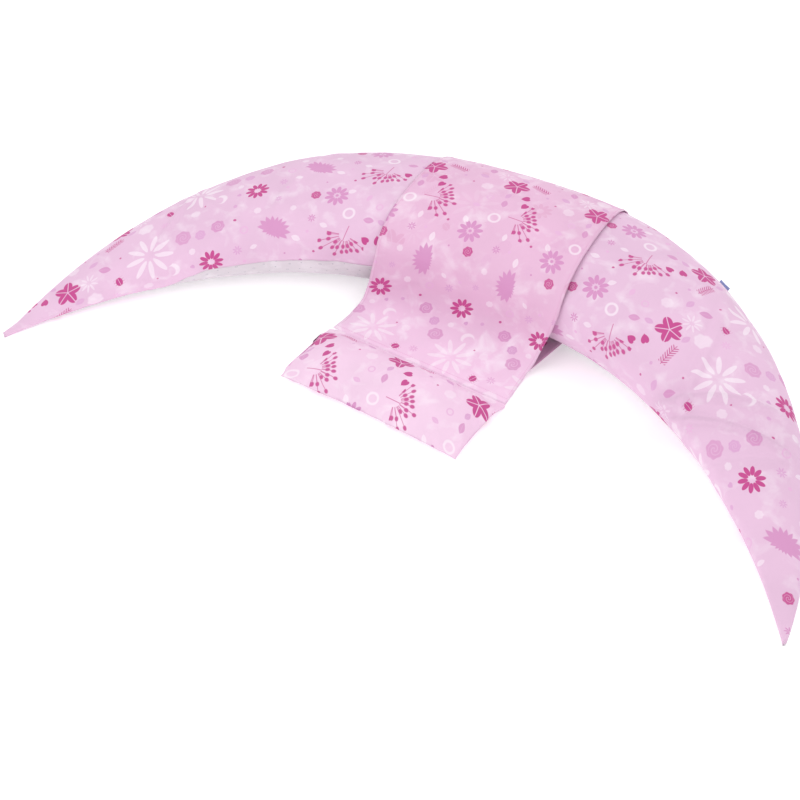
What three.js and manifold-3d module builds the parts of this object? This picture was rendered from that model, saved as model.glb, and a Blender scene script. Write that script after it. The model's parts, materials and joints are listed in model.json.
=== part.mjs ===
// Nursing pillow: a crescent in a two-panel cover, with a sleeve that slides round its middle and
// carries a flap with a mini pillow. Millimetres, +Z up, X along the chord, horns pointing to -Y.
import * as THREE from 'three';
import { mergeVertices } from 'three/addons/utils/BufferGeometryUtils.js';
import Module from 'manifold-3d';

const wasm = await Module();
wasm.setup();

// Crescent outline, seen from above: two superellipse arcs over one chord
const CHORD = 1400;
const OUTER_RISE = 698;
const INNER_RISE = 402;
const OUTER_POWER_X = 2.325;
const OUTER_POWER_Y = 1.944;
const INNER_POWER_X = 2.289;
const INNER_POWER_Y = 1.123;
const TIP_TRIM = 20;
const TIP_HEIGHT = 9;

// Crescent section
const THICKNESS = 193;
const SEAM_SHARE = 0.595;
const TAPER_POWER = 1.165;
const SIDE_POWER = 2.186;
const BASE_FLATNESS = 1.06;

// Layers, from the outside in
const COVER_WALL = 1.2;
const CASE_WALL = 1.0;
const GAP = 0.35;
const CASE_TIP_WIDTH = 26;

// Sleeve: a band round the crescent's middle, closed round it, that turns about a far centre
const SLEEVE_WIDTH = 352;
const SLEEVE_OFFSET = 22;
const SLEEVE_WALL = 1.2;
const SLEEVE_CLEARANCE = 1.0;
const SLEEVE_TRAVEL = 100;
const LIFT_FADE = 130;

// Flap and mini pillow
const FLAP_WIDTH = 342;
const FLAP_SHIFT = -10;
const FLAP_SKEW = THREE.MathUtils.degToRad(-6);
const FOLD_X = -15;
const FOLD_Y = 282;
const PLY = 1.2;
const HINGE_CLEARANCE = 2.2;
const PILLOW_WIDTH = 350;
const PILLOW_LENGTH = 156;
const PILLOW_HEIGHT = 50;
const PILLOW_SEAM_HEIGHT = 13;
const PILLOW_ROOT_GAP = 7;
const PAD_SLACK = 2;

// Zips
const ZIP_TAPE_WIDTH = 6.4;
const ZIP_TAPE_THICKNESS = 0.6;
const ZIP_COIL_WIDTH = 2.6;
const ZIP_COIL_HEIGHT = 1.6;
const ZIP_STOP_LENGTH = 3;
const ZIP_STOP_PROUD = 0.2;
const ZIP_STANDOFF = 2.4;
const COVER_ZIP_START = 330;
const COVER_ZIP_LENGTH = 300;
const PILLOW_ZIP_LENGTH = 104;
const SLIDER_LENGTH = 9;
const SLIDER_PLATE = 1.2;
const PULL_LENGTH = 22;
const PULL_WIDTH = 6.5;
const PULL_THICKNESS = 1;
const BAIL_HEIGHT = 2.4;

// Labels
const SIDE_LABEL_ARC = 420;
const CARE_LABEL_FROM_ZIP = 60;
const SIDE_LABEL_SIZE = [24, 9];
const CARE_LABEL_SIZE = [20, 14];
const LABEL_THICKNESS = 0.6;

const STATIONS = 38;
const HALF_COLUMNS = 9;

const PINK = 0xeccce2;
const BAND_PINK = 0xeac0da;
const OFF_WHITE = 0xdadad8;
const TICKING = 0xf4f2ee;
const FIBRE = 0xfbfaf7;
const TAPE = 0xe7c6da;
const NICKEL = 0xb9bcc0;
const LABEL_BLUE = 0x7f8fc4;
const LABEL_WHITE = 0xf5f5f3;

const part = new THREE.Group();

function addPiece(name, geometry, color, roughness = 0.95, metalness = 0, parent = part) {
  const mesh = new THREE.Mesh(geometry, new THREE.MeshStandardMaterial({ color, roughness, metalness }));
  mesh.name = name;
  parent.add(mesh);
  return mesh;
}

// ---- closed bodies from rows of points ----

function closedBody(points, triangles) {
  let volume = 0;
  for (const [a, b, c] of triangles) {
    volume += points[a].dot(new THREE.Vector3().crossVectors(points[b], points[c]));
  }
  const order = volume < 0 ? triangles.map(([a, b, c]) => [a, c, b]) : triangles;
  const geometry = new THREE.BufferGeometry();
  geometry.setAttribute('position', new THREE.Float32BufferAttribute(points.flatMap((p) => p.toArray()), 3));
  geometry.setIndex(order.flat());
  geometry.computeVertexNormals();
  return geometry;
}

// A wall between two grids of the same size: both faces and the four edges
function wallBetween(outer, inner) {
  const rows = outer.length;
  const columns = outer[0].length;
  const points = [...outer.flat(), ...inner.flat()];
  const triangles = [];
  const at = (side, row, column) => side * rows * columns + row * columns + column;
  const quad = (a, b, c, d) => triangles.push([a, b, c], [a, c, d]);
  // The diagonals point towards the middle of the grid, so that each corner folds on its own bisector
  const face = (a, b, c, d, inward) => (inward ? quad(a, b, c, d) : quad(b, c, d, a));
  for (let row = 0; row < rows - 1; row++) {
    for (let column = 0; column < columns - 1; column++) {
      const inward = (row < (rows - 1) / 2) === (column < (columns - 1) / 2);
      const corners = [[row, column], [row + 1, column], [row + 1, column + 1], [row, column + 1]];
      const [a, b, c, d] = corners.map(([r, k]) => at(0, r, k));
      const [e, f, g, h] = corners.map(([r, k]) => at(1, r, k));
      face(a, b, c, d, inward);
      face(e, h, g, f, inward);
    }
    quad(at(0, row, 0), at(1, row, 0), at(1, row + 1, 0), at(0, row + 1, 0));
    const last = columns - 1;
    quad(at(0, row, last), at(0, row + 1, last), at(1, row + 1, last), at(1, row, last));
  }
  for (let column = 0; column < columns - 1; column++) {
    quad(at(0, 0, column), at(0, 0, column + 1), at(1, 0, column + 1), at(1, 0, column));
    const last = rows - 1;
    quad(at(0, last, column), at(1, last, column), at(1, last, column + 1), at(0, last, column + 1));
  }
  return closedBody(points, triangles);
}

// A solid through closed rings, with a flat fan at each end
function loft(rings) {
  const size = rings[0].length;
  const points = rings.flat();
  const triangles = [];
  for (let ring = 0; ring < rings.length - 1; ring++) {
    for (let i = 0; i < size; i++) {
      const a = ring * size + i;
      const b = ring * size + (i + 1) % size;
      triangles.push([a, b, b + size], [a, b + size, a + size]);
    }
  }
  const last = (rings.length - 1) * size;
  for (let i = 1; i < size - 1; i++) {
    triangles.push([0, i + 1, i], [last, last + i, last + i + 1]);
  }
  return closedBody(points, triangles);
}

function toSolid(geometry) {
  const bare = geometry.clone();
  bare.deleteAttribute('normal');
  bare.deleteAttribute('uv');
  const merged = mergeVertices(bare, 1e-4);
  return new wasm.Manifold(new wasm.Mesh({
    numProp: 3,
    vertProperties: merged.attributes.position.array,
    triVerts: Uint32Array.from(merged.index.array),
  }));
}

function fromSolid(solid) {
  const mesh = solid.getMesh();
  const geometry = new THREE.BufferGeometry();
  geometry.setAttribute('position', new THREE.BufferAttribute(mesh.vertProperties, 3));
  geometry.setIndex(new THREE.BufferAttribute(mesh.triVerts, 1));
  geometry.computeVertexNormals();
  return geometry;
}

// ---- crescent ----

function arcOutline(rise, powerX, powerY) {
  const outline = [];
  const steps = 600;
  for (let i = 0; i <= steps; i++) {
    const angle = Math.PI * (i / steps - 0.5);
    const sine = Math.sin(angle);
    const x = Math.sign(sine) * Math.abs(sine) ** (2 / powerX) * CHORD / 2;
    const y = Math.abs(Math.cos(angle)) ** (2 / powerY) * rise;
    outline.push(new THREE.Vector2(x, y));
  }
  return outline;
}

function lengthsAlong(outline) {
  const lengths = [0];
  for (let i = 1; i < outline.length; i++) {
    lengths.push(lengths[i - 1] + outline[i].distanceTo(outline[i - 1]));
  }
  return lengths;
}

function pointAt(outline, lengths, distance) {
  let i = 1;
  while (i < lengths.length - 1 && lengths[i] < distance) {
    i++;
  }
  const share = (distance - lengths[i - 1]) / (lengths[i] - lengths[i - 1]);
  return outline[i - 1].clone().lerp(outline[i], share);
}

const outerOutline = arcOutline(OUTER_RISE, OUTER_POWER_X, OUTER_POWER_Y);
const innerOutline = arcOutline(INNER_RISE, INNER_POWER_X, INNER_POWER_Y);
const outerLengths = lengthsAlong(outerOutline);
const innerLengths = lengthsAlong(innerOutline);
const outerLength = outerLengths[outerLengths.length - 1];
const innerLength = innerLengths[innerLengths.length - 1];
const MIDDLE_HALF_WIDTH = (OUTER_RISE - INNER_RISE) / 2;

// The sleeve turns about the point from which both outlines look most like circles along its travel
const SLEEVE_REACH = SLEEVE_WIDTH / 2 + SLEEVE_OFFSET + SLEEVE_TRAVEL;

function circleCentreY(outline) {
  const edge = outline.find((point) => point.x > SLEEVE_REACH);
  const rise = outline[(outline.length - 1) / 2].y;
  return (rise ** 2 - edge.x ** 2 - edge.y ** 2) / (2 * (rise - edge.y));
}

const SLEEVE_CENTRE_Y = (circleCentreY(outerOutline) + circleCentreY(innerOutline)) / 2;
const sleeveCentre = new THREE.Vector2(0, SLEEVE_CENTRE_Y);
const SLEEVE_MID_RADIUS = (OUTER_RISE + INNER_RISE) / 2 - SLEEVE_CENTRE_Y;

function radiiInReach(outline) {
  const near = outline.filter((point) => Math.abs(point.x) < SLEEVE_REACH);
  return near.map((point) => point.distanceTo(sleeveCentre));
}

const sleeveInnerRadius = Math.min(...radiiInReach(innerOutline)) - SLEEVE_CLEARANCE;
const sleeveOuterRadius = Math.max(...radiiInReach(outerOutline)) + SLEEVE_CLEARANCE;

// The underside is raised where the sleeve runs beneath it
const LIFT = SLEEVE_WALL + SLEEVE_CLEARANCE + GAP;
const LIFT_REACH = SLEEVE_REACH * sleeveOuterRadius / SLEEVE_MID_RADIUS;

function liftAt(x) {
  return LIFT * (1 - THREE.MathUtils.smoothstep(Math.abs(x), LIFT_REACH, LIFT_REACH + LIFT_FADE));
}

// share runs from 0 at the left tip to 1 at the right one
function stationAt(share) {
  const outer = pointAt(outerOutline, outerLengths, outerLength * share);
  const inner = pointAt(innerOutline, innerLengths, innerLength * share);
  const middle = outer.clone().add(inner).multiplyScalar(0.5);
  const halfWidth = outer.distanceTo(inner) / 2;
  const across = outer.clone().sub(inner).normalize();
  const height = Math.max(TIP_HEIGHT, THICKNESS * (halfWidth / MIDDLE_HALF_WIDTH) ** TAPER_POWER);
  const base = liftAt(middle.x);
  const seam = base + SEAM_SHARE * height;
  return { outer, middle, across, halfWidth, height, base, seam };
}

// One half section, from the inner seam to the outer one: side is 1 for the top and -1 for the base
function halfSection(station, side, depth) {
  const points = [];
  const rim = side * GAP / 2;
  const rise = side > 0 ? station.height * (1 - SEAM_SHARE) : station.height * SEAM_SHARE;
  const reach = rise - GAP / 2 - depth;
  const bulge = side > 0 ? 1 : BASE_FLATNESS;
  for (let column = 0; column <= HALF_COLUMNS; column++) {
    const angle = Math.PI * (1 - column / HALF_COLUMNS);
    const cosine = Math.cos(angle);
    const along = Math.sign(cosine) * Math.abs(cosine) ** (2 / SIDE_POWER) * (station.halfWidth - depth);
    const plan = station.middle.clone().addScaledVector(station.across, along);
    const up = Math.min(1, bulge * Math.sin(angle)) * reach;
    points.push(new THREE.Vector3(plan.x, plan.y, station.seam + rim + side * up));
  }
  return points;
}

function stationsBetween(first, last) {
  return Array.from({ length: STATIONS + 1 }, (_, i) => stationAt(first + (last - first) * i / STATIONS));
}

const tipShare = TIP_TRIM / outerLength;
const coverStations = stationsBetween(tipShare, 1 - tipShare);

const caseStations = coverStations.filter((station) => station.halfWidth > CASE_TIP_WIDTH / 2 + COVER_WALL);
const CASE_DEPTH = COVER_WALL + GAP;
const FILL_DEPTH = CASE_DEPTH + CASE_WALL + GAP;

function crescentShell(stations, side, depth, wall) {
  const outer = stations.map((station) => halfSection(station, side, depth));
  const inner = stations.map((station) => halfSection(station, side, depth + wall));
  return wallBetween(outer, inner);
}

addPiece('cover_top_panel', crescentShell(coverStations, 1, 0, COVER_WALL), PINK);
addPiece('cover_base_panel', crescentShell(coverStations, -1, 0, COVER_WALL), OFF_WHITE);
addPiece('inner_case_top', crescentShell(caseStations, 1, CASE_DEPTH, CASE_WALL), TICKING);
addPiece('inner_case_base', crescentShell(caseStations, -1, CASE_DEPTH, CASE_WALL), TICKING);

function crescentFill() {
  const rings = caseStations.slice(1, -1).map((station) => {
    const top = halfSection(station, 1, FILL_DEPTH);
    const base = halfSection(station, -1, FILL_DEPTH);
    return [...top, ...base.reverse()];
  });
  return loft(rings);
}

addPiece('fibre_fill', crescentFill(), FIBRE, 1);

// ---- sleeve ----

const SLEEVE_TURN = Math.asin(SLEEVE_OFFSET / SLEEVE_MID_RADIUS);
const SLEEVE_SEAM_Z = LIFT + SEAM_SHARE * THICKNESS;
const SLEEVE_TOP_Z = LIFT + THICKNESS + SLEEVE_CLEARANCE;
const sleeveFloorZ = SLEEVE_WALL;
const FLAP_FROM_BAND = FLAP_SHIFT - SLEEVE_OFFSET;
const frontHalfAngle = (FLAP_WIDTH / 2 + Math.abs(FLAP_FROM_BAND)) / sleeveInnerRadius;
const hingeRadius = (sleeveInnerRadius - SLEEVE_WALL) * Math.cos(frontHalfAngle) - HINGE_CLEARANCE;

// Half width of the band at a radius, as start and end angles from the sleeve's own middle line
function bandAngles(radius, slant) {
  const shift = FLAP_FROM_BAND * slant;
  const width = THREE.MathUtils.lerp(SLEEVE_WIDTH, FLAP_WIDTH, slant);
  return [(-width / 2 + shift) / radius, (width / 2 + shift) / radius];
}

const BAND_STEPS = 10;

// Section points as [radius, height, slant, straight]: slant 1 is the flap's place across the band,
// and straight rows lie on a line, not an arc
function sweepBand(section) {
  return section.map(([radius, z, slant, straight]) => {
    const [start, end] = bandAngles(radius, slant);
    const row = [];
    for (let i = 0; i <= BAND_STEPS; i++) {
      const angle = start + (end - start) * i / BAND_STEPS;
      const reach = straight ? radius / Math.cos(angle) : radius;
      const turned = angle + SLEEVE_TURN;
      row.push(new THREE.Vector3(reach * Math.sin(turned), SLEEVE_CENTRE_Y + reach * Math.cos(turned), z));
    }
    return row;
  });
}

function sleeveArc(depth, from, to, steps, lower) {
  const middle = (sleeveInnerRadius + sleeveOuterRadius) / 2;
  const half = (sleeveOuterRadius - sleeveInnerRadius) / 2 + depth;
  const rise = lower ? SLEEVE_SEAM_Z - sleeveFloorZ + depth : SLEEVE_TOP_Z - SLEEVE_SEAM_Z + depth;
  const points = [];
  for (let i = 0; i <= steps; i++) {
    const angle = from + (to - from) * i / steps;
    const cosine = Math.cos(angle);
    const along = Math.sign(cosine) * Math.abs(cosine) ** (2 / SIDE_POWER) * half;
    const up = Math.min(1, (lower ? BASE_FLATNESS : 1) * Math.abs(Math.sin(angle))) * rise;
    points.push([middle + along, SLEEVE_SEAM_Z + (lower ? -up : up)]);
  }
  return points;
}

const ARC_STEPS = 18;
const DROP_STEPS = 3;

function sleeveTopSection(depth) {
  const arc = sleeveArc(depth, Math.PI, 0, ARC_STEPS, false);
  arc[arc.length - 1][1] += GAP / 2;
  const drop = [];
  for (let i = 0; i < DROP_STEPS; i++) {
    const share = 1 - i / DROP_STEPS;
    const z = THREE.MathUtils.lerp(SLEEVE_SEAM_Z, SLEEVE_WALL + GAP, share);
    drop.push([arc[0][0], z, share, false]);
  }
  return [...drop, ...arc.map(([radius, z]) => [radius, z, 0, false])];
}

function sleeveBaseSection(depth) {
  const arc = sleeveArc(depth, -Math.PI / 2, 0, ARC_STEPS / 2, true);
  arc[arc.length - 1][1] -= GAP / 2;
  const floor = arc[0][1];
  const front = [
    [hingeRadius, floor, 1, true],
    [(hingeRadius + sleeveInnerRadius) / 2, floor, 1, true],
    [sleeveInnerRadius + MIDDLE_HALF_WIDTH / 2, floor, 0.5, false],
  ];
  return [...front, ...arc.map(([radius, z]) => [radius, z, 0, false])];
}

function sleevePanel(section) {
  return wallBetween(sweepBand(section(SLEEVE_WALL)), sweepBand(section(0)));
}

addPiece('sleeve_top_panel', sleevePanel(sleeveTopSection), BAND_PINK);
addPiece('sleeve_base_panel', sleevePanel(sleeveBaseSection), BAND_PINK);

// ---- flap ----

const sleeveOut = new THREE.Vector2(Math.sin(SLEEVE_TURN), Math.cos(SLEEVE_TURN));
const sleeveSide = new THREE.Vector2(sleeveOut.y, -sleeveOut.x);
const flapSide = new THREE.Vector2(Math.cos(FLAP_SKEW), Math.sin(FLAP_SKEW));
const flapDown = new THREE.Vector2(flapSide.y, -flapSide.x);
const foldPoint = new THREE.Vector2(FOLD_X, FOLD_Y);

function rootPoint(across, back) {
  const shift = FLAP_FROM_BAND + across;
  const reach = hingeRadius - back;
  return sleeveCentre.clone().addScaledVector(sleeveOut, reach).addScaledVector(sleeveSide, shift);
}

function flapPoint(across, down) {
  return foldPoint.clone().addScaledVector(flapSide, across).addScaledVector(flapDown, down);
}

function plyBetween(low, high) {
  const columns = 8;
  const face = (z) => [rootPoint, flapPoint].map((place, end) => {
    const row = [];
    for (let i = 0; i <= columns; i++) {
      const across = FLAP_WIDTH * (i / columns - 0.5);
      const plan = place(across, end === 0 ? 2 * HINGE_CLEARANCE : -HINGE_CLEARANCE);
      row.push(new THREE.Vector3(plan.x, plan.y, z));
    }
    return row;
  });
  return wallBetween(face(high), face(low));
}

addPiece('flap_upper_ply', plyBetween(PLY + GAP, 2 * PLY + GAP), BAND_PINK);
addPiece('flap_lower_ply', plyBetween(0, PLY), BAND_PINK);

// ---- mini pillow ----

const PILLOW_COLUMNS = 12;
const PILLOW_ROWS = 8;
const CROWN_POWER_ACROSS = 3.2;
const CROWN_POWER_DOWN = 2.4;
const CROWN_FULLNESS = 0.62;
const UNDERSIDE_FLATNESS = 1.5;

// Height of the crown over the pillow's outline, 1 in the middle and 0 at the seam
function crown(u, v) {
  const across = 1 - Math.abs(u) ** CROWN_POWER_ACROSS;
  const down = 1 - Math.abs(v) ** CROWN_POWER_DOWN;
  return (Math.max(0, across) * Math.max(0, down)) ** CROWN_FULLNESS;
}

function pillowGrid(side, depth) {
  const grid = [];
  const rim = side * GAP / 2;
  const rise = side > 0 ? PILLOW_HEIGHT - PILLOW_SEAM_HEIGHT : PILLOW_SEAM_HEIGHT;
  for (let row = 0; row <= PILLOW_ROWS; row++) {
    const v = -Math.cos(Math.PI * row / PILLOW_ROWS);
    const line = [];
    for (let column = 0; column <= PILLOW_COLUMNS; column++) {
      const u = -Math.cos(Math.PI * column / PILLOW_COLUMNS);
      const across = u * (PILLOW_WIDTH / 2 - depth);
      const down = PILLOW_ROOT_GAP + PILLOW_LENGTH / 2 + v * (PILLOW_LENGTH / 2 - depth);
      const plan = flapPoint(across, down);
      const full = side > 0 ? crown(u, v) : Math.min(1, UNDERSIDE_FLATNESS * crown(u, v));
      const up = full * Math.max(0, rise - GAP / 2 - depth);
      line.push(new THREE.Vector3(plan.x, plan.y, PILLOW_SEAM_HEIGHT + rim + side * up));
    }
    grid.push(line);
  }
  return grid;
}

function pillowShell(side, depth, wall) {
  return wallBetween(pillowGrid(side, depth), pillowGrid(side, depth + wall));
}

addPiece('mini_cover_top', pillowShell(1, 0, COVER_WALL), BAND_PINK);
addPiece('mini_cover_base', pillowShell(-1, 0, COVER_WALL), BAND_PINK);
const PAD_DEPTH = COVER_WALL + PAD_SLACK;
const PAD_FILL_DEPTH = PAD_DEPTH + CASE_WALL + PAD_SLACK / 2;
addPiece('mini_case_top', pillowShell(1, PAD_DEPTH, CASE_WALL), TICKING);
addPiece('mini_case_base', pillowShell(-1, PAD_DEPTH, CASE_WALL), TICKING);
addPiece('mini_fill', wallBetween(pillowGrid(1, PAD_FILL_DEPTH), pillowGrid(-1, PAD_FILL_DEPTH)), FIBRE, 1);

// ---- zips ----

// A path gives the zip's place: at(distance) is { point, along, out, up } in the part's own frame
function arcPath(start, middle, end) {
  const a = start.clone().sub(end);
  const b = middle.clone().sub(end);
  const normal = new THREE.Vector3().crossVectors(a, b);
  const centre = b.clone().multiplyScalar(a.lengthSq()).addScaledVector(a, -b.lengthSq());
  centre.cross(normal).divideScalar(2 * normal.lengthSq()).add(end);
  normal.normalize();
  const radius = start.distanceTo(centre);
  const first = start.clone().sub(centre).normalize();
  const turn = first.angleTo(end.clone().sub(centre));
  const sign = first.clone().cross(end.clone().sub(centre)).dot(normal) > 0 ? 1 : -1;
  const axis = normal.multiplyScalar(sign);
  const at = (distance) => {
    const out = first.clone().applyAxisAngle(axis, distance / radius);
    const along = new THREE.Vector3().crossVectors(axis, out);
    return { point: centre.clone().addScaledVector(out, radius), along, out, up: axis.clone() };
  };
  return { at, length: radius * turn, centre, axis, radius };
}

function straightPath(start, end, out) {
  const along = end.clone().sub(start).normalize();
  const up = new THREE.Vector3().crossVectors(out, along).normalize();
  const at = (distance) => ({ point: start.clone().addScaledVector(along, distance), along, out, up });
  return { at, length: start.distanceTo(end), axis: along };
}

// A bar along the path with a rectangular section between [up, out] corners
function barAlong(path, from, to, [upLow, upHigh], [outLow, outHigh], steps) {
  const rings = [];
  for (let i = 0; i <= steps; i++) {
    const { point, out, up } = path.at(from + (to - from) * i / steps);
    const corner = (u, o) => point.clone().addScaledVector(up, u).addScaledVector(out, o);
    const inner = [corner(upLow, outLow), corner(upHigh, outLow)];
    rings.push([...inner, corner(upHigh, outHigh), corner(upLow, outHigh)]);
  }
  return loft(rings);
}

// Slider in its own frame: X along the zip, Y across it, Z away from the cover
const SLIDER_FLOOR = ZIP_COIL_HEIGHT + GAP;
const SLIDER_CHEEK = 2;
const SLIDER_HALF_WIDTH = ZIP_COIL_WIDTH / 2 + GAP + SLIDER_CHEEK;
const SLIDER_FROM_STOP = 1;
const BAIL_INSET = 1;
const BAIL_ROOT = 0.2;
const BAIL_LEG = 1.1;
const BAIL_BAR = 0.9;
const BAIL_HALF_WIDTH = 0.8;

function boxBetween([x0, x1], [y0, y1], [z0, z1]) {
  const box = new THREE.BoxGeometry(x1 - x0, y1 - y0, z1 - z0);
  return toSolid(box.translate((x0 + x1) / 2, (y0 + y1) / 2, (z0 + z1) / 2));
}

function sliderGeometry() {
  const half = SLIDER_LENGTH / 2;
  const side = SLIDER_HALF_WIDTH;
  const flange = ZIP_COIL_WIDTH / 2 + GAP;
  const low = ZIP_TAPE_THICKNESS + GAP;
  const top = SLIDER_FLOOR + SLIDER_PLATE;
  const bail = top + BAIL_HEIGHT;
  let slider = boxBetween([-half, half], [-side, side], [SLIDER_FLOOR, top]);
  slider = slider.add(boxBetween([-half, half], [-side, -flange], [low, top]));
  slider = slider.add(boxBetween([-half, half], [flange, side], [low, top]));
  const legReach = half - BAIL_INSET;
  for (const end of [-1, 1]) {
    const x = end * (legReach - BAIL_LEG / 2);
    const leg = [x - BAIL_LEG / 2, x + BAIL_LEG / 2];
    const rise = [top - BAIL_ROOT, bail + BAIL_BAR];
    slider = slider.add(boxBetween(leg, [-BAIL_HALF_WIDTH, BAIL_HALF_WIDTH], rise));
  }
  const bar = boxBetween([-legReach, legReach], [-BAIL_HALF_WIDTH, BAIL_HALF_WIDTH], [bail, bail + BAIL_BAR]);
  return fromSolid(slider.add(bar));
}

const PULL_PIVOT_Z = SLIDER_FLOOR + SLIDER_PLATE + BAIL_HEIGHT / 2;
const PULL_EYE = 1;
const PULL_EYE_PLAY = 0.6;
const PULL_EYE_MARGIN = 1;

// A flat tab with an eye whose end bar lies under the bail, at the pivot
function pullGeometry() {
  const half = PULL_WIDTH / 2;
  const eyeHalf = BAIL_HALF_WIDTH + PULL_EYE_PLAY;
  const eyeEnd = SLIDER_LENGTH / 2 + PULL_EYE_MARGIN;
  const shape = new THREE.Shape();
  shape.moveTo(-PULL_EYE / 2, -half);
  shape.lineTo(PULL_LENGTH - half, -half);
  shape.absarc(PULL_LENGTH - half, 0, half, -Math.PI / 2, Math.PI / 2, false);
  shape.lineTo(-PULL_EYE / 2, half);
  shape.closePath();
  const eye = new THREE.Path();
  eye.moveTo(PULL_EYE / 2, -eyeHalf);
  eye.lineTo(eyeEnd, -eyeHalf);
  eye.lineTo(eyeEnd, eyeHalf);
  eye.lineTo(PULL_EYE / 2, eyeHalf);
  eye.closePath();
  shape.holes.push(eye);
  const geometry = new THREE.ExtrudeGeometry(shape, {
    depth: PULL_THICKNESS, bevelEnabled: false, curveSegments: 5,
  });
  return geometry.translate(0, 0, PULL_PIVOT_Z - PULL_THICKNESS / 2);
}

function makeZip(prefix, path, steps) {
  const coilHalf = ZIP_COIL_WIDTH / 2;
  const tapeStart = coilHalf + GAP;
  const edge = tapeStart + ZIP_TAPE_WIDTH;
  const length = path.length;
  const onTape = [0, ZIP_TAPE_THICKNESS];
  addPiece(`${prefix}_upper_tape`, barAlong(path, 0, length, [tapeStart, edge], onTape, steps), TAPE);
  addPiece(`${prefix}_lower_tape`, barAlong(path, 0, length, [-edge, -tapeStart], onTape, steps), TAPE);
  const coilStart = ZIP_STOP_LENGTH + GAP;
  const stop = [-coilHalf, coilHalf];
  const coil = barAlong(path, coilStart, length - coilStart, stop, [0, ZIP_COIL_HEIGHT], steps);
  addPiece(`${prefix}_coil`, coil, TAPE, 0.5);
  const stopOut = [0, ZIP_COIL_HEIGHT + ZIP_STOP_PROUD];
  addPiece(`${prefix}_start_stop`, barAlong(path, 0, ZIP_STOP_LENGTH, stop, stopOut, 1), NICKEL, 0.35, 0.9);
  const endStop = barAlong(path, length - ZIP_STOP_LENGTH, length, stop, stopOut, 1);
  addPiece(`${prefix}_end_stop`, endStop, NICKEL, 0.35, 0.9);
  const seat = path.at(coilStart + SLIDER_LENGTH / 2 + SLIDER_FROM_STOP);
  const across = new THREE.Vector3().crossVectors(seat.out, seat.along);
  const carrier = new THREE.Group();
  carrier.position.copy(seat.point);
  carrier.setRotationFromMatrix(new THREE.Matrix4().makeBasis(seat.along, across, seat.out));
  part.add(carrier);
  addPiece(`${prefix}_slider`, sliderGeometry(), NICKEL, 0.35, 0.9, carrier);
  addPiece(`${prefix}_pull`, pullGeometry(), NICKEL, 0.35, 0.9, carrier);
}

// Point on the crescent's outer seam, at an arc length from the middle, left negative
function seamPoint(arc, proud) {
  const station = stationAt(0.5 + arc / outerLength);
  const plan = station.outer.clone().addScaledVector(station.across, proud);
  return new THREE.Vector3(plan.x, plan.y, station.seam);
}

const COVER_ZIP_STEPS = 14;
const coverZipPath = arcPath(
  seamPoint(-COVER_ZIP_START, ZIP_STANDOFF),
  seamPoint(-COVER_ZIP_START - COVER_ZIP_LENGTH / 2, ZIP_STANDOFF),
  seamPoint(-COVER_ZIP_START - COVER_ZIP_LENGTH, ZIP_STANDOFF),
);
makeZip('cover_zip', coverZipPath, COVER_ZIP_STEPS);

const pillowEnd = -PILLOW_WIDTH / 2 - ZIP_STANDOFF;
const pillowMiddle = PILLOW_ROOT_GAP + PILLOW_LENGTH / 2;
const zipEnds = [-1, 1].map((side) => {
  const plan = flapPoint(pillowEnd, pillowMiddle + side * PILLOW_ZIP_LENGTH / 2);
  return new THREE.Vector3(plan.x, plan.y, PILLOW_SEAM_HEIGHT);
});
const pillowZipPath = straightPath(zipEnds[0], zipEnds[1], new THREE.Vector3(-flapSide.x, -flapSide.y, 0));
makeZip('mini_zip', pillowZipPath, 1);

// ---- labels in the outer seam ----

function seamLabel(arc, [width, reach]) {
  const thickness = LABEL_THICKNESS / 2;
  const start = seamPoint(arc - width / 2, GAP);
  const end = seamPoint(arc + width / 2, GAP);
  const along = end.clone().sub(start);
  const out = new THREE.Vector3().crossVectors(new THREE.Vector3(0, 0, 1), along).normalize();
  const path = straightPath(start, end, out);
  return barAlong(path, 0, path.length, [-thickness, thickness], [GAP, reach], 1);
}

addPiece('side_label', seamLabel(SIDE_LABEL_ARC, SIDE_LABEL_SIZE), LABEL_BLUE);
const careLabelArc = -(COVER_ZIP_START + COVER_ZIP_LENGTH + CARE_LABEL_FROM_ZIP);
addPiece('care_label', seamLabel(careLabelArc, CARE_LABEL_SIZE), LABEL_WHITE);

// Origin at the middle of the underside of the whole object's box
part.updateMatrixWorld(true);
const box = new THREE.Box3().setFromObject(part);
part.position.set(-(box.min.x + box.max.x) / 2, -(box.min.y + box.max.y) / 2, -box.min.z);

export default part;
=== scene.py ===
"""Nursing pillow: a filled crescent in a printed cotton cover, with a sliding band and a mini pillow."""

import json
import math

import bmesh
import bpy
import numpy as np
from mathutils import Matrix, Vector, noise


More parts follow.
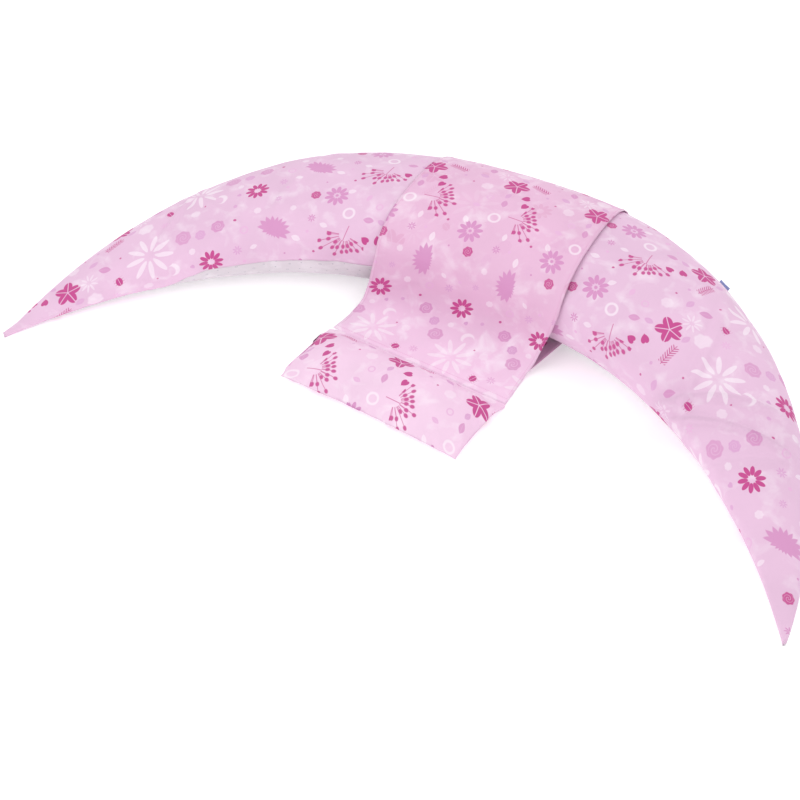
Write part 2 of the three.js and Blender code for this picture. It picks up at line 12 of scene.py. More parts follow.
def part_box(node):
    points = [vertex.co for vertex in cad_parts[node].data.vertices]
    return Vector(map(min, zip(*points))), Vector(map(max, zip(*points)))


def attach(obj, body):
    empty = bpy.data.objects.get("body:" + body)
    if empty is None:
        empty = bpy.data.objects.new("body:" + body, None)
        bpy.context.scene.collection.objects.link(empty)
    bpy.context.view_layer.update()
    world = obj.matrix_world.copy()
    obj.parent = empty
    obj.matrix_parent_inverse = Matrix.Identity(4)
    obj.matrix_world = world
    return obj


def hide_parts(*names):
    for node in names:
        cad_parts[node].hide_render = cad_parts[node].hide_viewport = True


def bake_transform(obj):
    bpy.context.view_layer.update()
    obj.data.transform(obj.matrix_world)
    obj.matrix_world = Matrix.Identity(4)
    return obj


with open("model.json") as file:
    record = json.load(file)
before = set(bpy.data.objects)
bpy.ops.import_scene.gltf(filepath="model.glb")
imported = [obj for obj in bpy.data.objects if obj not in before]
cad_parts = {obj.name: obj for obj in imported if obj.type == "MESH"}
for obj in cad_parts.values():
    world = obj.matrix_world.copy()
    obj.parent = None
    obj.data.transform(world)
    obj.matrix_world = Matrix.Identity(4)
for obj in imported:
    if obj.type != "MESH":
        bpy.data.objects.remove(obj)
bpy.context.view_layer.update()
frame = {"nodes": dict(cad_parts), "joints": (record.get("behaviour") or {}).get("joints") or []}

bl_info = {
    "name": "Nursing Pillow",
    "version": (1, 0, 0),
    "blender": (4, 5, 0),
    "location": "View3D > Sidebar > Nursing Pillow",
    "description": "Builds the soft pieces, zips and stage of a crescent nursing pillow",
    "category": "Object",
}

MM = 0.001
TOP_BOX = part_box("cover_top_panel")
BAND_TOP_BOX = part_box("sleeve_top_panel")
PILLOW_BOX = [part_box(name) for name in ("mini_cover_base", "mini_cover_top")]
JOINTS = {joint["name"]: joint for joint in frame["joints"]}

# Set by each operator from the scene's properties
SIZE = None
COLOUR = None

# Outline powers of the crescent: along the chord and across it
OUTER_POWERS = (2.325, 1.944)
INNER_POWERS = (2.289, 1.123)
# How much sooner the underside is flat than a round one
BASE_FLATNESS = 1.06
# Side of a mesh cell on the large cloths
CELL = 5.2 * MM
# The crescent's length along its curve, and a panel's width at its middle
CRESCENT_RUN, PANEL_WIDTH = 1.97, 0.40
# Room for the band to slide each way, how much wider it is at the outer seam, and where the lift fades out
SLIDE_ROOM, OUTER_SPREAD, LIFT_FADE = 0.1, 1.168, 0.13
# The inner seam: degrees under the inner edge, and how far the cover sits turned on its filling
SEAM_UNDER, COVER_TURN = 52, 40
# Least height of a half section at the horn tips
LEAST_RISE = 1.2 * MM
# Half width of the groove that a seam draws in
SEAM_GROOVE = 4.5 * MM
# Where the print starts on each piece's cloth, in metres
CRESCENT_ANCHOR = (0.373, 0.392)
BAND_ANCHOR = (0.041, 0.006)
PILLOW_ANCHOR = -0.062
# Turn of the print on the crescent, in degrees
PRINT_TURN = 2.5
# Stretches of the band, as distances from its crest
ON_CREST, LEAVES, LANDS, LIES = (0.15, 0.20), (0.17, 0.22), (0.29, 0.33), (0.30, 0.34)
# Height of the flap's upper and the band's lower cloth over the floor
FLAP_LAY, LINING_LAY = 2.6 * MM, 1.2 * MM
# Ends of the flap's cloth, from its two hinges
ROOT_BACK, FOLD_BACK = 4 * MM, -0.4 * MM
# Mini pillow: its cover, the flange that joins it to the flap, its crown's powers and its mesh
PILLOW_WIDTH, PILLOW_LENGTH, PILLOW_ROOT = 350 * MM, 156 * MM, 7 * MM
CROWN_POWERS = (3.2, 2.4, 0.62)
PILLOW_ROWS, PILLOW_COLUMNS = 40, 84
# How far its sides pull in, as a share, and its far edge; height of its seam beside the flap
PILLOW_WAIST, PILLOW_BAY, ROOT_HEIGHT = 0.022, 5 * MM, 3 * MM
# How much the mini pillow's top swells when it is blown up
PILLOW_SWELL = 6 * MM
# Thread spacing of the cotton, three times the real one
THREAD_PITCH = 0.9 * MM
# Stretch down the band's cloth over which it turns lighter: painted light on the flap where it lies on the
# floor
FLAP_PAINTED_LIGHT = (0.27, 0.37)
# Share of a sewn-in tape's width that shows
TAPE_SHOWN = 0.4
# Zip coil: distance from loop to loop, and of each row of loops from the middle
COIL_PITCH, COIL_HALF = 1.3 * MM, 0.42 * MM
# Stage: the floor's half width, the sky, and each lamp's name, place, width and watts
FLOOR_REACH = 12
SKY_STRENGTH, WHITE_LIGHT = 0.78, (1, 1, 1, 1)
LAMPS = (("key", (-0.9, -1.7, 2.8), 2.4, 30), ("fill", (1.6, 1.2, 2.8), 2.6, 20))
# Camera: lens in mm, direction in degrees, distance and the point it looks at in metres
CAMERA_LENS, CAMERA_AZIMUTH, CAMERA_ELEVATION = 57.0, 28.08, 43.51
CAMERA_DISTANCE, CAMERA_TARGET = 2.1225, (-0.0059, -0.1647, 0)


# ---- sizes and colours that a user would change ----

def size(name, default, description):
    """A length in metres."""
    return bpy.props.FloatProperty(name=name, description=description, default=default, unit="LENGTH")


def shape(name, default, description):
    """A plain number that sets a shape."""
    return bpy.props.FloatProperty(name=name, description=description, default=default)


def linear(text):
    """A hex colour as sRGB, turned to linear."""
    channels = [int(text[i:i + 2], 16) / 255 for i in (0, 2, 4)]
    return [c / 12.92 if c <= 0.04045 else ((c + 0.055) / 1.055) ** 2.4 for c in channels]


def colour(name, default, description):
    """A colour, given as hex."""
    return bpy.props.FloatVectorProperty(
        name=name, description=description, default=linear(default), subtype="COLOR", size=3, min=0, max=1)


class PillowSizes(bpy.types.PropertyGroup):
    """Sizes of the crescent, the band and the mini pillow."""

    chord: size("Chord", 1.400, "From horn tip to horn tip")
    outer_rise: size("Outer rise", 0.698, "From the chord to the outer seam's top")
    inner_rise: size("Inner rise", 0.402, "From the chord to the inner seam's top")
    thickness: size("Thickness", 0.193, "Height of the crescent in its middle")
    tip_height: size("Tip height", 0.009, "Height at the horn tips")
    tip_trim: size("Tip trim", 0.008, "Length of outline left off at each blunt horn tip")
    cloth: size("Cloth", 0.0012, "Thickness of the cover's cotton")
    lift: size("Lift", 0.00255, "How far the crescent's middle lies over the floor, where the band passes")
    band_width: size("Band width", 0.352, "Width of the band round the crescent")
    band_offset: size("Band offset", 0.022, "How far the band sits right of the crescent's middle")
    flap_width: size("Flap width", 0.342, "Width of the flap in front of the band")
    flap_shift: size("Flap shift", -0.032, "How far the flap's middle lies left of the band's")
    seam_share: shape("Seam share", 0.595, "Height of the crescent's seam, as a share of its thickness")
    taper: shape("Taper", 1.165, "How fast the thickness falls with the width, towards the horns")
    section: shape("Section", 2.186, "Fullness of the crescent's cross section")


class PillowColours(bpy.types.PropertyGroup):
    """Colours of the cloths, the print's inks and the trims."""

    ground: colour("Ground", "E5C0DB", "Pink of the printed cotton")
    band_ground: colour("Band ground", "E6BAD7", "Pink of the band, where two layers lie on each other")
    # Flap: a lighter copy of the band's pink, painted light for the flap that lies on the floor
    flap_ground: colour("Flap", "F1D0E8", "Pink of the flap, which has no second pink cloth beneath it")
    pillow_ground: colour("Mini pillow", "F0CEE6", "Pink of the mini pillow, on its white pad")
    underside: colour("Underside", "DAD1D8", "Off-white of the crescent's underside")
    ticking: colour("Ticking", "F4F2EE", "Inner case")
    fibre: colour("Fibre", "FBFAF7", "Filling")
    tape: colour("Zip tape", "E7C0DC", "Zip tape and coil")
    metal: colour("Metal", "C4C6CA", "Zip slider, pull and stops")
    thread: colour("Thread", "E9B4D6", "Sewing thread")
    label: colour("Label", "8C9CCB", "Woven tag")
    care: colour("Care tape", "F3F3F1", "Satin care label")


# ---- mesh work ----

def link(name, mesh):
    """A new object at the origin."""
    made = bpy.data.objects.new(name, mesh)
    bpy.context.scene.collection.objects.link(made)
    return made


def put(name, points, faces):
    """A new mesh object at the origin."""
    mesh = bpy.data.meshes.new(name)
    mesh.from_pydata([tuple(p) for p in points], [], [tuple(f) for f in faces])
    mesh.validate()
    return link(name, mesh)


def surface(name, grid, outward):
    """A grid of points as a mesh object that faces the way of the given normals."""
    rows, columns = grid.shape[:2]
    piece = put(name, grid.reshape(-1, 3), grid_faces(rows, columns))
    check_outward(piece, outward)
    return piece


def check_outward(piece, outward):
    """Turns the mesh's faces so that they look the way of the given normals."""
    mesh = piece.data
    face = mesh.polygons[len(mesh.polygons) // 3]
    if np.array(face.normal) @ outward.reshape(-1, 3)[face.vertices[0]] < 0:
        mesh.flip_normals()


def read(collection, key, kind, width=1):
    """One property of every item of a mesh's collection."""
    values = np.zeros(len(collection) * width, kind)
    collection.foreach_get(key, values)
    return values.reshape(-1, width) if width > 1 else values


def grid_faces(rows, columns, start=0, flip=False):
    """Quads of a grid of points that lie row by row."""
    row, column = np.meshgrid(np.arange(rows - 1), np.arange(columns - 1), indexing="ij")
    first = (row * columns + column).ravel() + start
    quads = np.stack([first, first + 1, first + columns + 1, first + columns], 1)
    return quads[:, ::-1] if flip else quads


def grid_normals(grid):
    """Unit normals of a grid of points, by its two directions."""
    normal = np.cross(np.gradient(grid, axis=0), np.gradient(grid, axis=1))
    return normal / np.maximum(np.linalg.norm(normal, axis=-1, keepdims=True), 1e-12)


def outward_normals(grid, row, up=1):
    """A grid's normals, turned so that the one in the middle of that row points up (1) or down (-1)."""
    normal = grid_normals(grid)
    return -normal if normal[row, grid.shape[1] // 2, 2] * up < 0 else normal


def at_height(plan, z):
    """A row of points in plan, all at that height."""
    return np.concatenate([plan, np.full((len(plan), 1), z)], 1)


def resample(points, count):
    """Points at even distances along a line of points."""
    lengths = travelled(points)
    wanted = np.linspace(0, lengths[-1], count)
    return np.stack([np.interp(wanted, lengths, points[:, k]) for k in range(points.shape[1])], 1)


def travelled(points):
    """Distance along a line of points, from its first one."""
    steps = np.linalg.norm(np.diff(points, axis=0), axis=1)
    return np.concatenate([[0], np.cumsum(steps)])


def smooth(value, low, high):
    """0 below low, 1 above high, and smooth between them."""
    share = np.clip((value - low) / (high - low), 0, 1)
    return share * share * (3 - 2 * share)


def wave(points, scale, seed=0):
    """Smooth noise from -1 to 1 at each point, with lumps of about that size."""
    flat = np.asarray(points, float).reshape(-1, 3) / scale + seed
    values = np.array([noise.noise(Vector(p)) for p in flat])
    return values.reshape(np.asarray(points).shape[:-1])


def waves(points, *layers):
    """Layers of smooth noise, each given as its height, the size of its lumps and its seed."""
    return sum(height * wave(points, scale, seed) for height, scale, seed in layers)


def line_wave(values, scale, seed=0):
    """Smooth noise from -1 to 1 along a distance."""
    flat = np.ravel(values) / scale
    made = np.array([noise.noise(Vector((v, seed * 7.3, seed * 1.7))) for v in flat])
    return made.reshape(np.shape(values))


def cloth_wall(piece, thickness):
    """Gives an open cloth surface its wall, inwards, with a closed rim."""
    wall = piece.modifiers.new("wall", "SOLIDIFY")
    wall.thickness = thickness
    wall.offset = -1
    wall.use_rim = True
    settle(piece)


def settle(piece):
    """Applies every modifier, so that the mesh is final."""
    graph = bpy.context.evaluated_depsgraph_get()
    shaped = piece.evaluated_get(graph)
    mesh = bpy.data.meshes.new_from_object(shaped, preserve_all_data_layers=True, depsgraph=graph)
    old = piece.data
    piece.modifiers.clear()
    piece.data = mesh
    bpy.data.meshes.remove(old)
    mesh.name = piece.name


def shade(piece, material):
    """Smooth faces and one material."""
    piece.data.polygons.foreach_set("use_smooth", [True] * len(piece.data.polygons))
    paint(piece, material)


def paint(piece, material):
    """Gives a piece one material."""
    piece.data.materials.clear()
    piece.data.materials.append(material)


def keep_uv(piece, places, name="cloth"):
    """Writes a UV map from values at the mesh's points."""
    layer = piece.data.uv_layers.new(name=name)
    corners = np.asarray(places)[read(piece.data.loops, "vertex_index", np.int32)]
    layer.data.foreach_set("uv", corners.astype(np.float32).ravel())


# ---- crescent ----

def outline(rise, powers):
    """One seam of the crescent seen from above, at even steps."""
    angle = np.linspace(-math.pi / 2, math.pi / 2, 4001)
    sine, cosine = np.sin(angle), np.maximum(np.cos(angle), 0)
    x = np.sign(sine) * np.abs(sine) ** (2 / powers[0]) * SIZE.chord / 2
    y = cosine ** (2 / powers[1]) * rise
    return resample(np.stack([x, y], 1), 2001)


def row_shift():
    """How far the frame's y lies behind the chord's."""
    return TOP_BOX[1].y - SIZE.outer_rise


def lift_at(x):
    """Height of the underside, raised where the band passes beneath it."""
    reach = (SIZE.band_width / 2 + SIZE.band_offset + SLIDE_ROOM) * OUTER_SPREAD
    return SIZE.lift * (1 - smooth(np.abs(x), reach, reach + LIFT_FADE))


def stations(count):
    """The crescent's sections from the left horn to the right one."""
    outer = outline(SIZE.outer_rise, OUTER_POWERS)
    inner = outline(SIZE.inner_rise, INNER_POWERS)
    length = travelled(outer)[-1]
    share = np.linspace(SIZE.tip_trim / length, 1 - SIZE.tip_trim / length, count)
    at = share * (len(outer) - 1)
    index = np.arange(len(outer))
    pick = lambda line: np.stack([np.interp(at, index, line[:, k]) for k in (0, 1)], 1)
    out, inside = pick(outer), pick(inner)
    middle = (out + inside) / 2
    half = np.linalg.norm(out - inside, axis=1) / 2
    across = (out - inside) / (2 * half[:, None])
    full = (SIZE.outer_rise - SIZE.inner_rise) / 2
    height = np.maximum(SIZE.tip_height, SIZE.thickness * (half / full) ** SIZE.taper)
    base = lift_at(middle[:, 0])
    return middle, across, half, height, base, (share - 0.5) * length


def section_angles(side, columns, under):
    """Angles that step evenly over each section: from the inner seam, that far under, to the outer one."""
    angle = np.linspace(1.5 * math.pi, 0, 3001) if side > 0 else np.linspace(-math.pi, 0, 3001)
    cosine, sine = np.cos(angle), np.sin(angle)
    half = (SIZE.outer_rise - SIZE.inner_rise) / 2
    along = np.sign(cosine) * np.abs(cosine) ** (2 / SIZE.section) * half
    fall = np.minimum(1, -BASE_FLATNESS * sine) * SIZE.seam_share
    up = np.where(sine > 0, sine * (1 - SIZE.seam_share), -fall) * SIZE.thickness
    lengths = travelled(np.stack([along, up], 1))
    if side > 0:
        inner = np.interp(math.pi + under, angle[::-1], lengths[::-1])
    else:
        inner = np.interp(-math.pi + under, angle, lengths)
    wanted = inner[:, None] + np.linspace(0, 1, columns)[None] * (lengths[-1] - inner[:, None])
    return np.interp(wanted, lengths, angle)


def tuck(arc):
    """How far the inner seam lies under the crescent's inner edge, in degrees of its section.
    The cover sits turned on the filling, so that the left horn shows more of its underside."""
    return SEAM_UNDER - COVER_TURN * smooth(arc, -0.80, -0.60) + COVER_TURN * smooth(arc, -0.10, 0.12)


def crescent_grid(side, rows, columns, depth=0.0, tucked=True):
    """Points of the upper (side 1) or lower (side -1) half, and each one's place on its unrolled cloth."""
    middle, across, half, height, base, arc = stations(rows)
    under = np.radians(tuck(arc)) if tucked else 0 * arc
    angle = section_angles(side, columns, under)
    cosine, sine = np.cos(angle), np.sin(angle)
    reach = np.maximum(half[:, None] - depth, 0.001)
    along = np.sign(cosine) * np.abs(cosine) ** (2 / SIZE.section) * reach
    high = np.maximum(height[:, None] * (1 - SIZE.seam_share) - depth, LEAST_RISE)
    rise = np.minimum(1, sine) * high
    low = np.maximum(height[:, None] * SIZE.seam_share - depth, LEAST_RISE)
    fall = np.minimum(1, -BASE_FLATNESS * sine) * low
    up = np.where(sine > 0, rise, -fall)
    plan = middle[:, None] + across[:, None] * along[..., None]
    z = (base + SIZE.seam_share * height)[:, None] + up
    points = np.concatenate([plan, z[..., None]], 2)
    points[..., 1] += row_shift()
    steps = np.hypot(np.diff(along, axis=1), np.diff(up, axis=1))
    run = np.concatenate([np.zeros((rows, 1)), np.cumsum(steps, axis=1)], 1)
    crest = math.pi / 2 * side
    centre = np.array([np.interp(-side * crest, -side * a, r) for a, r in zip(angle, run)])
    cloth = middle[:, None] + across[:, None] * (run - centre[:, None])[..., None]
    return points, cloth, run, arc


# Soft creases on the horns: place along the outer seam, slant, depth and width, in millimetres
HORN_CREASES = [
    (640, 0.9, 7.0, 9), (705, 1.2, 6.5, 8), (560, -0.6, 4.0, 10), (770, 0.6, 5.0, 8),
    (-610, -0.8, 4.0, 10), (-705, 0.7, 4.2, 8), (-430, 0.5, 3.2, 12), (300, 0.5, 2.4, 11),
]


def ruffle(points, run, arc, side):
    """How far a filled cotton cover stands out or in: soft lumps, puckered seams, creases on the horns."""
    width = run[:, -1:]
    inner, outer = run, width - run
    scale = np.clip(width / 0.36, 0.15, 1)
    lumps = waves(points, (1.7, 0.13, 0), (0.8, 0.055, 4))
    place = np.repeat(arc[:, None], run.shape[1], 1)
    gather = 1.9 * np.exp(-inner / 0.022) * (line_wave(place + 0.25 * inner, 0.021, 1) - 0.25)
    folds = 1.6 * np.exp(-((inner - 0.03) / 0.045) ** 2) * line_wave(place + 0.4 * inner, 0.052, 2)
    pucker = 1.2 * np.exp(-outer / 0.018) * (line_wave(place - 0.2 * outer, 0.026, 3) - 0.2)
    groove = -1.1 * (np.exp(-(inner / SEAM_GROOVE) ** 2) + np.exp(-(outer / SEAM_GROOVE) ** 2))
    total = lumps * (1 if side > 0 else 0.35) + gather + folds + pucker + groove
    if side > 0:
        for at, slant, deep, wide in HORN_CREASES:
            off = (place - at * MM - slant * (inner - width / 2)) / (wide * MM)
            window = np.exp(-((inner / width - 0.5) / 0.32) ** 4)
            total = total - deep * np.exp(-off ** 2) * window
            total = total + 0.45 * deep * np.exp(-(np.abs(off) - 1.9) ** 2) * window
    return total * scale * MM


def crescent_panel(name, side, material, tile):
    """One panel of the cover as a closed cloth shell with its print."""
    rows, columns = round(CRESCENT_RUN / CELL), round(PANEL_WIDTH / CELL)
    points, cloth, run, arc = crescent_grid(side, rows, columns)
    outward = grid_normals(points) * (-1 if side > 0 else 1)
    away = ruffle(points, run, arc, side)
    if side < 0:
        resting = 1 - smooth(points[..., 2] - lift_at(points[..., 0]), 1 * MM, 14 * MM)
        away = np.minimum(away * (1 - resting), away)
    moved = points + outward * away[..., None]
    moved[..., 2] = np.maximum(moved[..., 2], lift_at(points[..., 0]))
    piece = put(name, moved.reshape(-1, 3), grid_faces(rows, columns, flip=side > 0))
    close_tips(piece, rows, columns)
    check_outward(piece, outward)
    turn = math.radians(PRINT_TURN)
    x, y = (cloth.reshape(-1, 2) - CRESCENT_ANCHOR).T
    down = -(x * math.cos(turn) - y * math.sin(turn))
    over = -(y * math.cos(turn) + x * math.sin(turn))
    keep_uv(piece, np.stack([down, over], 1))
    cloth_wall(piece, SIZE.cloth)
    print_on(piece, tile)
    shade(piece, material)
    return piece


def close_tips(piece, rows, columns):
    """Fills the small open end at each horn tip."""
    work = bmesh.new()
    work.from_mesh(piece.data)
    work.verts.ensure_lookup_table()
    first = list(range(columns))
    last = [(rows - 1) * columns + i for i in range(columns)]
    for ring in (first, last[::-1]):
        face = work.faces.new([work.verts[i] for i in ring])
        bmesh.ops.triangulate(work, faces=[face])
    bmesh.ops.recalc_face_normals(work, faces=work.faces)
    work.to_mesh(piece.data)
    work.free()


# ---- print: motifs of a repeating cloth, kept on the mesh as each face corner's place in its motif ----

KINDS = ["none", "daisy", "eyed_daisy", "blossom", "heart", "branch", "rose", "lotus", "ladybird",
         "sprig", "leaf", "ring", "moon", "disc", "great_flower", "star"]
MAGENTA, MAUVE, LILAC, PALE, WHITE = "C43F8A", "D592C2", "DBA6D0", "E6B6DA", "FBF4FA"
GREY = "A9A4B0"

# kind, down the cloth, across it, turn in degrees, half size, ink, strength; lengths in millimetres
FLORAL = [
    ("blossom", 0, 0, 20, 24, MAGENTA, 1), ("heart", 30, 30, 60, 9, MAGENTA, 1),
    ("heart", 52, 38, 20, 8.5, MAGENTA, 1), ("branch", 88, 62, 90, 37, MAGENTA, 0.95),
    ("eyed_daisy", 140, 136, 0, 23, MAUVE, 1), ("rose", 177, 148, 0, 9.5, MAGENTA, 0.95),
    ("lotus", 212, 80, -90, 32, MAUVE, 0.95), ("daisy", 290, 12, 0, 22, MAGENTA, 1),
    ("rose", 312, 108, 0, 13, MAUVE, 0.9), ("rose", 333, 134, 0, 10, LILAC, 1),
    ("rose", 360, 150, 0, 15, MAUVE, 0.75), ("ladybird", 424, 104, 30, 11, MAGENTA, 1),
    ("great_flower", 398, 44, 0, 44, WHITE, 0.5), ("disc", 446, 150, 0, 15, WHITE, 0.42),
    ("ring", 100, 4, 0, 12, WHITE, 0.55), ("sprig", 484, 40, 200, 20, MAGENTA, 0.85),
    ("leaf", 462, 96, 70, 12, MAUVE, 0.9), ("leaf", 60, 4, 80, 10, MAUVE, 0.85),
    ("leaf", 36, 0, 100, 8.5, LILAC, 0.9), ("leaf", 492, 92, 20, 10, LILAC, 0.9),
    ("star", 158, 36, 0, 8, MAUVE, 1), ("star", 256, 134, 15, 9, LILAC, 1),
    ("star", 236, 22, 0, 7, LILAC, 1), ("moon", 346, 50, 40, 13, WHITE, 0.55),
    ("leaf", 168, 78, 90, 9, WHITE, 0.5), ("leaf", 132, 40, 90, 8, WHITE, 0.45),
    ("leaf", 120, 118, 60, 9, WHITE, 0.45), ("disc", 260, 56, 0, 7, WHITE, 0.4),
    ("disc", 200, 30, 0, 6, WHITE, 0.35), ("disc", 24, 112, 0, 11, WHITE, 0.32),
    ("ring", 262, 98, 0, 8, PALE, 0.9), ("disc", 370, 96, 0, 9, WHITE, 0.35),
    ("leaf", 470, 4, 30, 9, LILAC, 0.8), ("great_flower", 474, 128, 10, 18, WHITE, 0.35),
    ("disc", 374, 40, 0, 2.4, MAGENTA, 0.9), ("disc", 382, 62, 0, 2.0, MAGENTA, 0.9),
    ("disc", 364, 74, 0, 2.0, MAGENTA, 0.8), ("disc", 288, 88, 0, 3.0, MAGENTA, 0.9),
    ("disc", 130, 90, 0, 2.6, MAGENTA, 0.9), ("disc", 176, 112, 0, 2.0, MAUVE, 0.9),
    ("disc", 236, 150, 0, 3.4, PALE, 1), ("disc", 306, 60, 0, 4.0, LILAC, 0.9),
    ("disc", 6, 62, 0, 3.0, LILAC, 0.9), ("disc", 20, 84, 0, 2.2, MAGENTA, 0.8),
    ("heart", 316, 32, 200, 5, LILAC, 1), ("disc", 448, 66, 0, 2.2, MAGENTA, 0.8),
    ("ring", 54, 132, 0, 7, PALE, 0.9), ("leaf", 82, 120, 10, 8, PALE, 1),
    ("star", 412, 134, 0, 9, PALE, 1), ("disc", 330, 8, 0, 6, WHITE, 0.4),
    ("disc", 154, 60, 0, 3, PALE, 1), ("leaf", 232, 118, 45, 7, WHITE, 0.45),
]
FLORAL_REPEAT = (500, 158)
FLORAL_TILE = (FLORAL, FLORAL_REPEAT)

FINE = [
    ("disc", 8, 9, 0, 1.6, GREY, 0.8), ("ring", 30, 14, 0, 2.8, GREY, 0.8),
    ("disc", 52, 7, 0, 1.5, GREY, 0.7), ("star", 15, 32, 0, 2.8, GREY, 0.75),
    ("disc", 42, 36, 0, 1.6, GREY, 0.8), ("disc", 60, 28, 0, 1.5, GREY, 0.7),
    ("ring", 10, 54, 0, 2.6, GREY, 0.75), ("disc", 31, 52, 0, 1.6, GREY, 0.8),
    ("star", 54, 55, 20, 2.6, GREY, 0.7),
]
FINE_REPEAT = (66, 66)
FINE_TILE = (FINE, FINE_REPEAT)
# How far past its own size a motif still claims a face, in millimetres
MOTIF_MARGIN = 6


def print_on(piece, tile, uv="cloth", prefix="motif", strength=1.0, above=-1.0):
    """Finds the motif that each face above a height lies in, and keeps its corners' places and its ink."""
    motifs, repeat = tile[0], np.array(tile[1], float)
    mesh = piece.data
    places = read(mesh.uv_layers[uv].data, "uv", np.float32, 2).astype(float) / MM
    starts = read(mesh.polygons, "loop_start", np.int32)
    totals = read(mesh.polygons, "loop_total", np.int32)
    face_of = np.repeat(np.arange(len(starts)), totals)
    order = np.concatenate([np.arange(s, s + t) for s, t in zip(starts, totals)])
    centre = np.stack([np.bincount(face_of, places[order, k]) / totals for k in (0, 1)], 1)
    best = np.full(len(starts), np.inf)
    chosen = np.full(len(starts), -1)
    for index, (_, down, over, _, half, _, _) in enumerate(motifs):
        off = centre - (down, over)
        off -= np.round(off / repeat) * repeat
        near = np.linalg.norm(off, axis=1) - half
        closer = (near < best) & (near < MOTIF_MARGIN)
        best = np.where(closer, near, best)
        chosen = np.where(closer, index, chosen)
    chosen[read(mesh.polygons, "center", float, 3)[:, 2] < above] = -1
    local = np.zeros((len(places), 3), np.float32)
    inks = np.zeros((len(places), 4), np.float32)
    for index, (kind, down, over, turn, half, ink, power) in enumerate(motifs):
        faces = np.where(chosen == index)[0]
        if not len(faces):
            continue
        mine = np.isin(face_of, faces)
        loops, face = order[mine], face_of[mine]
        cell = np.round((centre[face] - (down, over)) / repeat) * repeat
        off = places[loops] - (down, over) - cell
        angle = math.radians(turn)
        cosine, sine = math.cos(angle), math.sin(angle)
        local[loops, 0] = (off[:, 1] * cosine + off[:, 0] * sine) / half
        local[loops, 1] = (off[:, 0] * cosine - off[:, 1] * sine) / half
        local[loops, 2] = KINDS.index(kind)
        inks[loops] = [*linear(ink), power * strength]
    mesh.attributes.new(prefix, "FLOAT_VECTOR", "CORNER").data.foreach_set("vector", local.ravel())
    mesh.attributes.new(prefix + "_ink", "FLOAT_COLOR", "CORNER").data.foreach_set("color", inks.ravel())


# ---- materials ----

def add(tree, kind, *values, inputs=None, **settings):
    """Adds a node with its settings; a value that is a node or a socket is linked."""
    node = tree.nodes.new(kind)
    for key, value in settings.items():
        setattr(node, key, value)
    for key, value in [*enumerate(values), *(inputs or {}).items()]:
        source = value.outputs[0] if isinstance(value, bpy.types.Node) else value
        if isinstance(source, bpy.types.NodeSocket):
            tree.links.new(source, node.inputs[key])
        elif source is not None:
            node.inputs[key].default_value = source
    return node


class Field:
    """A number worked out at each point of a surface, so that formulas read as formulas."""

    def __init__(self, tree, source):
        self.tree, self.source = tree, source

    def do(self, operation, *others):
        """This number and others through one Math node."""
        values = [other.source if isinstance(other, Field) else other for other in others]
        return Field(self.tree, add(self.tree, "ShaderNodeMath", self.source, *values, operation=operation))

    def __add__(self, other):
        return self.do("ADD", other)

    def __sub__(self, other):
        return self.do("SUBTRACT", other)

    def __mul__(self, other):
        return self.do("MULTIPLY", other)

    def __truediv__(self, other):
        return self.do("DIVIDE", other)

    def __neg__(self):
        return self * -1

    def soft(self, edge=0.06):
        """0 where negative, 1 where positive, with a soft edge."""
        return self.do("MULTIPLY_ADD", 0.5 / edge, 0.5).do("MAXIMUM", 0).do("MINIMUM", 1)

    def less(self, other):
        """1 where this is below the other, else 0."""
        return self.do("LESS_THAN", other)


def petals(angle, radius, count, middle, half_length, half_width):
    """Coverage of a ring of oval petals, and the place across each one."""
    step = 2 * math.pi / count
    turn = ((angle * (1 / step)).do("FRACT") - 0.5) * step
    along = (radius * turn.do("COSINE") - middle) * (1 / half_length)
    across = radius * turn.do("SINE")
    wide = across * (1 / half_width)
    return (-(along * along + wide * wide) + 1).soft(0.12), across


